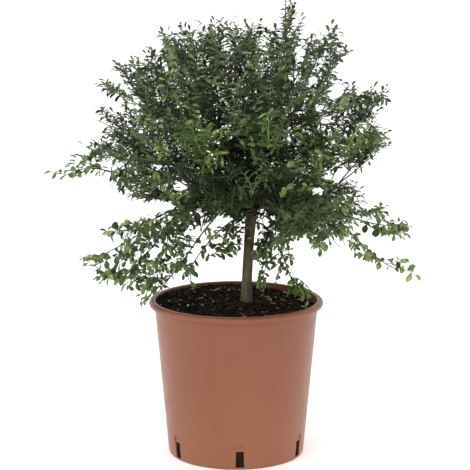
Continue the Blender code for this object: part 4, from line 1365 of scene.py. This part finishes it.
inner_twigs = []
for bough in boughs:
    inner_twigs += grow_inner(bough["points"], random.Random(f"inner {bough['name']}"))
head_line = [*map(trunk_centre, HEAD_LEVELS), TRUNK_TOP]
for round_number in range(HEAD_ROUNDS):
    inner_twigs += grow_inner(head_line, random.Random(f"inner head {round_number}"))
for twig in inner_twigs:
    wood.add(*tube(twig, tapering(INNER_ROOT, TWIG_TIP, INNER_POINTS), INNER_SIDES))

stems = wood.piece("stems_and_twigs")
smooth(stems, 70)
twig_bark = Finish("twig_bark", (0.06, 0.052, 0.03), 0.8, Specular_IOR_Level=0.35)
twig_bark.clouded([
    (0.34, (0.022, 0.02, 0.011)), (0.52, (0.062, 0.056, 0.03)), (0.7, (0.13, 0.118, 0.07)),
], 160, 5, (1, 1, 0.4))
twig_bark.roughness(twig_bark.range(twig_bark.grain(200), 0.65, 0.9))
twig_bark.relief(twig_bark.grain(1800, 4), 0.0003)
dress(stems, [twig_bark], "bark", *[mass["name"] for mass in masses])


# Shoots: this year's thin growth, which leaves the stems and twigs all the way along and
# bends towards the light. The outer ones are still green.
SHOOT_STEP = 0.0102
SHOOT_LENGTH = (0.02, 0.048)
SHOOT_ROOT = 0.0005
SHOOT_TIP = 0.00026
SHOOT_ANGLE = math.radians(46)
SHOOT_SWING = 0.25
SHOOT_FROM = 0.1  # where along its limb the first one leaves
HEART_FROM = 0.2  # and where on the inner twigs
SHOOT_POINTS = 5
SHOOT_SIDES = 3
SHOOT_TRIES = (1, 0.75, 0.5)
SPRAY_SPREAD = 0.75  # a mass that spreads less than this is a spray
DOME_RAGGED, SPRAY_RAGGED = 0.11, 0.03  # how deep the edge goes in, as a share of the reach
END_POINTS = 4
END_STEP = 0.0045
END_STEPS = 10  # how many steps a spray's stem may run on as a shoot
END_DROP = 0.4  # a spray's end comes up towards level
SPRAY_REACH = 1.03
SPRAY_EDGE = 0.985
POT_GAP = 0.003
SOIL_CLEAR = 0.001
RAGGEDNESS = 55  # how closely the crown's edge goes in and out, per metre
ALL_WINDOWS = (*WINDOWS, TRUNK_WINDOW, *SMALL_GAPS)
THICK_MM = (  # of (across, up, radius), where the shoots are closest together
    (-108, -37, 13), (-147, 67, 14), (106, 121, 16), (129, 120, 12), (32, -22, 10), (47, -39, 12),
    (-176, 111, 11), (31, 256, 9), (-92, -46, 12), (-117, -49, 11), (114, -13, 9), (-8, 262, 9),
    (-19, -15, 12), (3, -8, 8), (-120, 211, 10), (-109, 223, 9), (167, -20, 10), (155, -13, 9),
    (132, 229, 11), (128, 255, 8), (-167, 188, 9), (-73, -18, 11), (-67, -7, 9), (-62, -43, 11),
    (178, 30, 10), (147, 61, 8), (175, 180, 9), (-165, -49, 9), (80, -46, 8), (-177, -29, 10),
    (-161, 119, 11), (-28, 5, 6), (25, 262, 9), (65, -14, 10), (1, -17, 8), (-110, -49, 9),
    (-164, 185, 8), (108, 223, 9), (105, -14, 10), (24, -30, 9), (-146, 210, 8), (-163, 152, 8),
    (95, 118, 17), (134, 119, 13), (88, 138, 12), (97, 100, 12), (-24, 128, 11), (205, 7, 9),
    (125, 236, 9), (130, 194, 6), (-113, -11, 9), (-139, -25, 10), (48, -45, 9), (29, -10, 9),
    (67, 125, 10), (-142, -58, 8), (-61, 253, 8), (-35, 97, 11), (-172, 106, 8), (-62, 1, 7),
    (108, 101, 10), (29, -29, 9), (15, 82, 15), (17, 60, 12), (36, 64, 12), (30, 100, 13),
    (-6, 134, 11), (186, 175, 8), (151, 90, 7), (161, 93, 8), (145, 88, 6), (155, 89, 7),
)
THICK_SPOTS = [[part / 1000 for part in spot] for spot in THICK_MM]
THICK_TRIES = 1200
THICK_DENSITY = 55000  # shoots per square metre of a spot
THICK_REACH = (0.01, 0.032)
THICK_FROM = 3  # from how many radii round a spot its shoots start
THICK_EDGE = 1.02
STEM_BARE = 8  # points at a stem's foot from which no more shoots leave
FOREMOST = 0.5  # the share of the wood there that they start from, the nearest to the front
YOUNG_PATCHES = (  # of (across, up, radius, how many shoots stand out there)
    (-0.052, 0.112, 0.018, 9), (-0.04, 0.09, 0.016, 6), (-0.0636, 0.158, 0.014, 4),
    (0.0175, 0.073, 0.014, 5), (0.046, 0.105, 0.012, 4), (0.162, 0.092, 0.016, 9),
    (0.146, 0.104, 0.014, 4), (0.03, 0.057, 0.014, 8),
)
YOUNG_BASES = 14  # how many places, the foremost ones, a patch's shoots start from
YOUNG_LENGTH = (0.026, 0.042)
YOUNG_ROOT = 0.0007
YOUNG_POINTS = 8
YOUNG_SIDES = 5


def over_pot(point):
    """Whether the point is in the pot's wall or rim, or too near the compost."""
    away = math.hypot(point.x, point.y)
    if away > RIM_RADIUS + POT_GAP or point.z > POT_HEIGHT + POT_GAP:
        return False
    return away > RIM_RADIUS - RIM_WIDTH - POT_GAP or point.z < MOUND_TOP + SOIL_CLEAR


def free(mass, point, slack=1):
    """Whether a shoot may pass a point: in its mass's reach, within a ragged edge, off limbs."""
    ragged = DOME_RAGGED if mass["spread"] > SPRAY_SPREAD else SPRAY_RAGGED
    share = slack * (1 - ragged + ragged * noise.noise(point * RAGGEDNESS))
    if (point - TRUNK_TOP).length > mass["reach"] * share or over_pot(point):
        return False
    if mass["in_crown"] and not in_outline(point, share):
        return False
    return not in_window(point, ALL_WINDOWS) and space.off_limbs(point, LIMB_MARGIN)


def at_end(mass, point):
    """Whether a spray's stem may run on through a point, as far as the crown's very edge."""
    if (point - TRUNK_TOP).length > mass["reach"] * SPRAY_REACH:
        return False
    if not in_outline(point, SPRAY_EDGE) or over_pot(point):
        return False
    return not in_window(point, ALL_WINDOWS)


def shoot_line(start, along, side, length, lift, chance):
    """A thin shoot that leaves its limb at an angle and bends towards the light."""
    angle = SHOOT_ANGLE + chance.uniform(-SHOOT_SWING, SHOOT_SWING)
    out = (along * math.cos(angle) + side * math.sin(angle)).normalized()
    away = (start - TRUNK_TOP).normalized()
    onward = (out + along * 0.2 + away * 0.7 + UP * lift).normalized()
    return curve_points(
        start, start + out * length * 0.4, start + (out + onward).normalized() * length * 0.7,
        start + (out + onward * 1.6).normalized() * length, SHOOT_POINTS,
    )


def bent(base, middle, tip, count=SHOOT_POINTS):
    """A shoot from its base to its tip by way of a middle."""
    return curve_points(base, base.lerp(middle, 0.7), middle.lerp(tip, 0.5), tip, count)


def any_way(chance):
    """A direction, all of them being equally likely."""
    return Vector([chance.gauss(0, 1) for _ in range(3)]).normalized()


def grow_shoots(mass, lines, bare, chance):
    """Shoots in turn along a mass's lines, past their bare feet, where there is room for them."""
    lift = 0.4 if mass["rise"] > 0 else (0.05 if mass["rise"] > -50 else -0.5)
    spray = mass["spread"] < SPRAY_SPREAD and mass["in_crown"]
    grown = []
    for line in lines:
        points = dense(line, CLOSE)
        length = line_length(points)
        normal = first_normal((points[1] - points[0]).normalized())
        turn = chance.uniform(0, math.tau)
        travelled = bare * length
        while travelled < length:
            start, along = place_on(points, travelled / length)
            turn += GOLDEN_TURN + chance.uniform(-TURN_SWING, TURN_SWING)
            side = side_of(along, normal, turn)
            full = chance.uniform(*SHOOT_LENGTH) * (0.2 + 0.8 * mass["spread"])
            for trial in SHOOT_TRIES:
                shoot = shoot_line(start, along, side, full * trial, lift, chance)
                if all(free(mass, point) for point in shoot[2:]):
                    grown.append(shoot)
                    break
            travelled += SHOOT_STEP * (2.2 - 1.2 * mass["spread"]) * chance.uniform(0.75, 1.25)
        onward = (points[-1] - points[-3]).normalized() * END_STEP + UP * lift * 0.001
        if spray:
            onward.z *= END_DROP
        end = [points[-1] + onward * step for step in range(END_POINTS)]
        while spray and len(end) < END_STEPS and at_end(mass, end[-1] + onward):
            end.append(end[-1] + onward)
        if spray or free(mass, end[-1], 1.05):
            grown.append(end)
    return grown


FILL_CELL = 0.0167  # the room that one shoot's leaves take up
FILL_TRIES = 20000
SPRAY_FILL = 0.09  # how often a spray gets a shoot where a mass of the dome would
FILL_REACH = (0.013, 0.036)
FILL_NEAR, FILL_SPREAD = 0.008, 0.066  # how far from its stem a shoot may end, by the spread


def cell_of(point):
    """The cell of room that a point is in."""
    return tuple(int(part // FILL_CELL) for part in point)


def fill_in(masses, chance):
    """Shoots into the room that is left in each mass, each from wood that is already there."""
    taken = set()
    bases = []
    for mass in masses:
        for line in [mass["fine"][STEM_BARE:]] + mass["fine_twigs"]:
            bases += [(point, mass) for point in line[1:]]
        for shoot in mass["shoots"]:
            taken.update(cell_of(point) for point in shoot[1:])
            bases += [(point, mass) for point in shoot[2:4]]
    for _ in range(FILL_TRIES):
        base, mass = chance.choice(bases)
        loose = any_way(chance)
        lift = 0.35 if mass["rise"] > 0 else -0.15
        way = (loose + (base - TRUNK_TOP).normalized() * 1.1 + UP * lift).normalized()
        tip = base + way * chance.uniform(*FILL_REACH)
        slim = mass["spread"] < SPRAY_SPREAD
        if cell_of(tip) in taken or (slim and chance.random() > SPRAY_FILL):
            continue
        if space.own[mass["name"]].find(tip)[2] > FILL_NEAR + FILL_SPREAD * mass["spread"]:
            continue
        shoot = bent(base, base.lerp(tip, 0.5) - UP * lift * 0.004, tip)
        if all(free(mass, point) for point in shoot[2:]):
            mass["shoots"].append(shoot)
            taken.update(cell_of(point) for point in shoot[1:])
            bases += [(point, mass) for point in shoot[2:4]]


def thicken(masses, chance):
    """More shoots in the thick spots, each from wood that is already there."""
    bases = [
        (seen_from_front(point), point, mass) for mass in masses
        for line in mass["shoots"] + mass["fine_twigs"] + [mass["fine"][STEM_BARE:]]
        for point in line[1:]
    ]
    for across, up, radius in THICK_SPOTS:
        near = [
            (point, mass) for (right, rise), point, mass in bases
            if math.hypot(right - across, rise - up) < THICK_FROM * radius
        ]
        near.sort(key=lambda entry: entry[0].y)
        near = near[:max(1, round(len(near) * FOREMOST))]
        wanted = round(THICK_DENSITY * radius ** 2)
        for _ in range(THICK_TRIES if near else 0):
            base, mass = chance.choice(near)
            tip = base + any_way(chance) * chance.uniform(*THICK_REACH)
            right, rise = seen_from_front(tip)
            if math.hypot(right - across, rise - up) > radius:
                continue
            if (tip - TRUNK_TOP).length > mass["reach"] or not in_outline(tip, THICK_EDGE):
                continue
            shoot = bent(base, base.lerp(tip, 0.5) + UP * 0.002, tip)
            if all(space.off_limbs(point, LIMB_MARGIN) and not over_pot(point) for point in shoot):
                mass["thick"].append(shoot)
                near += [(point, mass) for point in shoot[2:4]]
                wanted -= 1
            if wanted == 0:
                break


LONG_TRIES = 9000
LONG_LENGTH = (0.028, 0.046)
LONG_APART = 0.023
LONG_POINTS = 7
LONG_FROM = 0.9  # where the longest shoots end, as a share of the way to the crown's edge
LONG_TO = 1.02


def send_out(masses, chance):
    """The longest shoots, which stand out singly all over the crown."""
    bases = []
    for mass in masses:
        for line in mass["shoots"] + mass["fine_twigs"]:
            bases += [(point, mass) for point in line[len(line) // 2:]]
    tips = []
    for _ in range(LONG_TRIES):
        base, mass = chance.choice(bases)
        loose = any_way(chance)
        lift = 0.5 if mass["rise"] > 0 else -0.1
        way = (loose * 0.5 + (base - TRUNK_TOP).normalized() + UP * lift).normalized()
        tip = base + way * chance.uniform(*LONG_LENGTH)
        out = (tip - TRUNK_TOP).length
        inward = out < mass["reach"] * LONG_FROM and in_outline(tip, LONG_FROM)
        if inward or out > mass["reach"] * LONG_TO or not in_outline(tip):
            continue
        if in_window(tip, ALL_WINDOWS):
            continue
        if any((tip - other).length < LONG_APART for other in tips):
            continue
        middle = base.lerp(tip, 0.5) + (loose - way * loose.dot(way)) * 0.003
        shoot = bent(base, middle, tip, LONG_POINTS)
        if any(in_window(point, ALL_WINDOWS) for point in shoot[3:]):
            continue
        if all(space.off_limbs(point, LIMB_MARGIN) and not over_pot(point) for point in shoot[2:]):
            mass["long"].append(shoot)
            tips.append(tip)


def send_up_young(masses, chance):
    """Young shoots in patches on the front of the crown, which rise and then arch over."""
    bases = [
        (seen_from_front(point), point, mass)
        for mass in masses for shoot in mass["shoots"] for point in shoot[2:]
    ]
    for across, up, radius, count in YOUNG_PATCHES:
        near = [
            (point.y, mass["name"], point, mass) for (right, rise), point, mass in bases
            if math.hypot(right - across, rise - up) < radius
        ]
        near.sort(key=lambda entry: entry[:2])
        for _ in range(count if near else 0):
            base, mass = chance.choice(near[:YOUNG_BASES])[2:]
            out = (base - TRUNK_TOP).normalized()
            aside = out.cross(UP).normalized()
            length = chance.uniform(*YOUNG_LENGTH)
            lean = chance.uniform(-1, 1)
            way = (out * 0.4 + aside * lean * 0.7 + UP * chance.uniform(0.2, 0.8)).normalized()
            tip = base + way * length
            mass["young"].append(curve_points(
                base, base + (UP * 0.6 + out * 0.3) * length * 0.6,
                tip + (UP * 0.3 - aside * lean * 0.3) * length, tip, YOUNG_POINTS,
            ))


shoot_wood, young_wood = Heap(), Heap()
for mass in masses:
    mass["young"], mass["thick"], mass["long"] = [], [], []
    lines = [mass["fine"]] + mass["fine_twigs"]
    chance = random.Random(f"shoots {mass['name']}")
    mass["shoots"] = grow_shoots(mass, lines, SHOOT_FROM, chance)
crown = [mass for mass in masses if mass["in_crown"]]
fill_in(masses, random.Random(SEED))
thicken(masses, random.Random(SEED + 3))
send_out(crown, random.Random(SEED + 1))
send_up_young(crown, random.Random(SEED + 2))
heart = {
    "name": "heart", "reach": 0.2, "spread": 0.8, "rise": 30, "in_crown": True,
    "fine_twigs": inner_twigs, "young": [], "long": [], "thick": [],
}
heart["shoots"] = grow_shoots(heart, inner_twigs, HEART_FROM, random.Random("heart"))
for mass in masses + [heart]:
    for shoot in mass["shoots"] + mass["long"] + mass["thick"]:
        shoot_wood.add(*tube(shoot, tapering(SHOOT_ROOT, SHOOT_TIP, len(shoot)), SHOOT_SIDES))
    for shoot in mass["young"]:
        young_wood.add(*tube(shoot, tapering(YOUNG_ROOT, SHOOT_TIP, len(shoot)), YOUNG_SIDES))
shoots = shoot_wood.piece("green_shoots")
smooth(shoots, 80)
green_wood = Finish("green_shoot", (0.06, 0.085, 0.03), 0.55)
green_wood.clouded([(0.35, (0.05, 0.048, 0.024)), (0.65, (0.085, 0.12, 0.04))], 70, 3)
green_wood.relief(green_wood.grain(2400, 2), 0.0001)
dress(shoots, [green_wood], "bark")
young_shoots = young_wood.piece("young_shoots")
smooth(young_shoots, 80)
lime_wood = Finish("young_shoot", (0.15, 0.22, 0.085), 0.5)
lime_wood.clouded([(0.35, (0.12, 0.17, 0.065)), (0.65, (0.17, 0.25, 0.095))], 70, 3)
lime_wood.relief(lime_wood.grain(2400, 2), 0.0001)
dress(young_shoots, [lime_wood], "bark")


# Leaves: small, leathery and broadest above the middle, set singly along the shoots. Each is
# folded along its midrib and curls at the tip. Old ones are dark and glossy, young ones lime,
# and those far inside the crown darker still: painted shade.
LEAF_KINDS = {  # of (spacing, shortest, longest, width as a share of the length)
    "dome": (0.0045, 0.008, 0.0114, 0.42), "skirt": (0.0068, 0.0088, 0.0128, 0.5),
    "stem": (0.0078, 0.0084, 0.012, 0.45), "end": (0.0072, 0.0098, 0.0135, 0.7),
    "long": (0.0048, 0.0082, 0.0118, 0.48), "young": (0.0038, 0.0105, 0.0155, 0.27),
}
LEAF_THICKNESS = 0.0003
LEAFLESS = 6  # points at a hanging stem's foot that bear no leaves
LEAFY_FROM = 0.1  # where along its shoot the first leaf stands
LEAF_PLACES = 0.0008  # how closely leaves may be placed on a shoot
SIZE_SWING = (0.85, 1.1)  # from shoot to shoot
SIDE_SWING = 0.4
LEAF_ANGLE = math.radians(56)
LEAF_SWING = 0.28
LAST_ANGLE, LAST_SIZE = 0.35, 0.8  # shares of the last leaf on a shoot, which points ahead
LEAF_FOLD = (0.1, 0.55)
LEAF_CURL, YOUNG_CURL = (0.02, 0.5), (0.2, 0.55)
LEAF_ROLL, HANGING_ROLL = 0.5, 0.9
HANGING_DROP = 0.25
LEAF_SLACK = 1.06  # how far past the crown's ragged edge a leaf may reach
LEAF_STATIONS = ((0.28, 0.62), (0.58, 1.0), (0.85, 0.74))  # of (length, half width), as shares
LEAF_FINISHES = ("inner_shade", "dark", "mid", "fresh", "young", "pale")
PLAIN_SPRAYS = ("foliage_left_skirt_inner", "foliage_trunk_left")
PALEST_SPRAY = "foliage_left_skirt_low"
LIME_SPRAY = "foliage_trunk_right"
FARTHEST = (0.155, 0.01)  # beyond this far across and below this, the leaves are round
WIDEST = 0.2405  # no leaf ends farther to the right than this
NEAREST = -0.216  # and none nearer the front than this
LOW_CROWN = 0.36  # below this the dome's leaves are lighter
BARE_IN_GAPS = 0.55  # how many of the leaves on hanging stems fall where sky shows


def leaf_faces():
    """Faces of a leaf with 14 corners: the upper side's first, then the underside's."""
    base, tip = 0, 10
    left, middle, right, under = [1, 4, 7], [2, 5, 8], [3, 6, 9], [11, 12, 13]
    faces = [(base, middle[0], left[0]), (base, right[0], middle[0])]
    for a in (0, 1):
        faces += [
            (left[a], middle[a], middle[a + 1], left[a + 1]),
            (middle[a], right[a], right[a + 1], middle[a + 1]),
        ]
    faces += [(left[2], middle[2], tip), (middle[2], right[2], tip)]
    below = []
    for face in faces:
        swapped = [under[middle.index(corner)] if corner in middle else corner for corner in face]
        below.append(tuple(swapped[::-1]))
    return faces + below


LEAF_FACES = leaf_faces()
UPPER_FACES = len(LEAF_FACES) // 2


def leaf_points(root, along, face, length, width, fold, curl):
    """The corners of one leaf, folded along its midrib and curled down at its tip."""
    across = along.cross(face).normalized()
    above = across.cross(along)
    points = [root]
    middles = []
    for share, half_share in LEAF_STATIONS:
        half = width / 2 * half_share
        middle = root + along * length * share - above * curl * length * share ** 2
        edge_lift = above * half * fold
        points += [middle - across * half + edge_lift, middle, middle + across * half + edge_lift]
        middles.append(middle)
    points.append(root + along * length - above * curl * length)
    return points + [middle - above * LEAF_THICKNESS for middle in middles]


def hangs(mass):
    """Whether a mass hangs, or is a thin spray: its leaves are larger and looser."""
    return mass["rise"] < 0 or mass["spread"] < 0.4


def by_dice(dice, *shares):
    """The first finish whose share, counted from 0, takes in the dice."""
    for age_and_shade, limit in shares:
        if dice < limit:
            return age_and_shade


def hanging_leaves(tip, mass, dice):
    """The kind and finish of leaves on a hanging mass: round and pale at its end, darker inside."""
    out = (tip - TRUNK_TOP).length / (mass["tip"] - TRUNK_TOP).length
    if out > 0.9 and mass["name"] == LIME_SPRAY:
        return "long", by_dice(dice, ("young", 0.5), ("fresh", 1))
    right, up = seen_from_front(tip)
    at_edge = out > 0.93 or (abs(right) > FARTHEST[0] and up < FARTHEST[1])
    if at_edge and mass["spread"] < 1 and mass["name"] not in PLAIN_SPRAYS:
        pale = 0.8 if mass["name"] == PALEST_SPRAY else 0.42
        return "end", by_dice(dice, ("pale", pale), ("fresh", 0.85), ("mid", 1))
    sunlit = 0.96 if mass["tip"].x > TRUNK_TOP.x else 0.72
    if out > 0.5:
        return "skirt", by_dice(dice, ("fresh", sunlit), ("mid", 0.92), ("dark", 1))
    return "skirt", by_dice(dice, ("fresh", sunlit - 0.4), ("mid", 0.8), ("dark", 1))


def kind_age_and_shade(tip, mass, sort, chance):
    """Which kind of leaves a shoot has and its finish, by age and by painted light and shade."""
    dice = chance.random()
    if sort == "young":
        return "young", by_dice(dice, ("young", 0.6), ("fresh", 1))
    if sort == "stem":
        return "stem", by_dice(dice, ("fresh", 0.5), ("mid", 1))
    if hangs(mass):
        return hanging_leaves(tip, mass, dice)
    if sort == "long":
        return "long", by_dice(dice, ("young", 0.04), ("fresh", 0.28), ("mid", 1))
    out = (tip - TRUNK_TOP).length / mass["reach"]
    # Painted shade: the nearer to the crown's heart, the likelier a darker finish.
    if out < 0.5:
        return "dome", by_dice(dice, ("inner_shade", 0.75), ("dark", 1))
    if out < 0.8:
        dark = 0.68 if tip.z > LOW_CROWN else 0.4
        return "dome", by_dice(dice, ("dark", dark), ("mid", 1))
    return "dome", by_dice(dice, ("fresh", 0.2), ("mid", 0.62), ("dark", 1))


def leafy_lines(mass):
    """The lines of a mass that bear leaves, each with its sort."""
    lines = [(shoot, "") for shoot in mass["shoots"] + mass["fine_twigs"]]
    for sort in ("long", "young", "thick"):
        lines += [(shoot, sort) for shoot in mass[sort]]
    if hangs(mass):
        lines.append((mass["fine"][LEAFLESS:], "stem"))
    return lines


def leaf_way(along, side, last, hanging, chance):
    """The way in which a leaf points, the last one of its shoot nearly straight ahead."""
    swing = chance.uniform(-LEAF_SWING, LEAF_SWING)
    angle = LEAF_ANGLE * (LAST_ANGLE if last else 1) + swing
    way = along * math.cos(angle) + side * math.sin(angle)
    if hanging:
        way -= UP * HANGING_DROP
    way.normalize()
    return way


def leaf_face(way, along, side, hanging, chance):
    """The way in which a leaf's upper side looks: up and a little ahead, rolled by chance."""
    level = way.cross((UP * 0.9 + along * 0.5 - side * 0.2).normalized())
    if level.length < 0.2:
        level = way.cross(along)
    roll = HANGING_ROLL if hanging else LEAF_ROLL
    return turned_about(way, level.cross(way).normalized(), chance.uniform(-roll, roll))


def falls(tip, mass, sort, chance):
    """Whether there is no leaf here, because it would end in the pot, the sky or beyond reach."""
    if over_pot(tip) or tip.x > WIDEST or tip.y < NEAREST:
        return True
    if sort == "stem" and in_window(tip, SMALL_GAPS) and chance.random() < BARE_IN_GAPS:
        return True
    return not (sort or free(mass, tip, LEAF_SLACK))


leaf_heaps = {(age_and_shade, side): Heap() for age_and_shade in LEAF_FINISHES for side in ("left", "right")}
for mass in masses + [heart]:
    chance = random.Random(f"leaves {mass['name']}")
    hanging = hangs(mass)
    for shoot, sort in leafy_lines(mass):
        kind, age_and_shade = kind_age_and_shade(shoot[-1], mass, sort, chance)
        spacing, shortest, longest, width_share = LEAF_KINDS[kind]
        points = dense(shoot, LEAF_PLACES)
        ahead = (points[-1] - points[0]).normalized()
        normal = ahead.cross(UP) if abs(ahead.z) < 0.97 else first_normal(ahead)
        turn = chance.gauss(0, 0.5)
        count = max(2, round(line_length(points) * (1 - LEAFY_FROM) / spacing))
        size = chance.uniform(*SIZE_SWING)
        for number in range(count + 1):
            last = number == count
            place = LEAFY_FROM + (1 - LEAFY_FROM) * number / count
            index = min(len(points) - 1, int(place * (len(points) - 1)))
            root = points[index]
            along = (root - points[max(0, index - 3)]).normalized()
            turn += math.pi + chance.uniform(-SIDE_SWING, SIDE_SWING)
            side = side_of(along, normal, turn)
            way = leaf_way(along, side, last, hanging, chance)
            face = leaf_face(way, along, side, hanging, chance)
            length = chance.uniform(shortest, longest) * size * (LAST_SIZE if last else 1)
            tip = root + way * length
            if falls(tip, mass, sort, chance):
                continue
            half = "left" if tip.x < TRUNK_TOP.x else "right"
            curl = chance.uniform(*(YOUNG_CURL if sort == "young" else LEAF_CURL))
            fold = chance.uniform(*LEAF_FOLD)
            corners = leaf_points(root, way, face, length, length * width_share, fold, curl)
            leaf_heaps[age_and_shade, half].add(corners, LEAF_FACES)


# The darkest finish is painted shade, for the leaves far inside the crown.
LEAF_COLOURS = {
    "inner_shade": (0.009, 0.018, 0.005), "dark": (0.022, 0.039, 0.011), "mid": (0.058, 0.092, 0.03),
    "fresh": (0.15, 0.208, 0.07), "young": (0.165, 0.262, 0.048), "pale": (0.235, 0.3, 0.1),
}
for age_and_shade, colour in LEAF_COLOURS.items():
    upper = Finish(f"leaf_{age_and_shade}_upper", colour, 0.42, Specular_IOR_Level=0.26)
    lighter = tuple(part * 1.5 for part in colour)
    darker = tuple(part * 0.62 for part in colour)
    upper.clouded([(0.34, darker), (0.5, colour), (0.68, lighter)], 85, 3)
    upper.roughness(upper.range(upper.grain(90), 0.34, 0.5))
    upper.relief(upper.grain(1300, 3), 0.0002)
    paler = tuple(part * 1.4 + 0.008 for part in colour)
    dusky = tuple(part * 0.8 for part in paler)
    under = Finish(f"leaf_{age_and_shade}_under", paler, 0.62, Specular_IOR_Level=0.12)
    under.clouded([(0.35, dusky), (0.65, paler)], 60, 3)
    under.relief(under.grain(1700, 3), 0.0002)
    for half in ("left", "right"):
        heap = leaf_heaps[age_and_shade, half]
        per_leaf = len(LEAF_FACES)
        heap.kinds = [int(number % per_leaf >= UPPER_FACES) for number in range(len(heap.faces))]
        leaves = heap.piece(f"leaves_{age_and_shade}_{half}")
        smooth(leaves, 50)
        dress(leaves, [upper, under], "leaf")
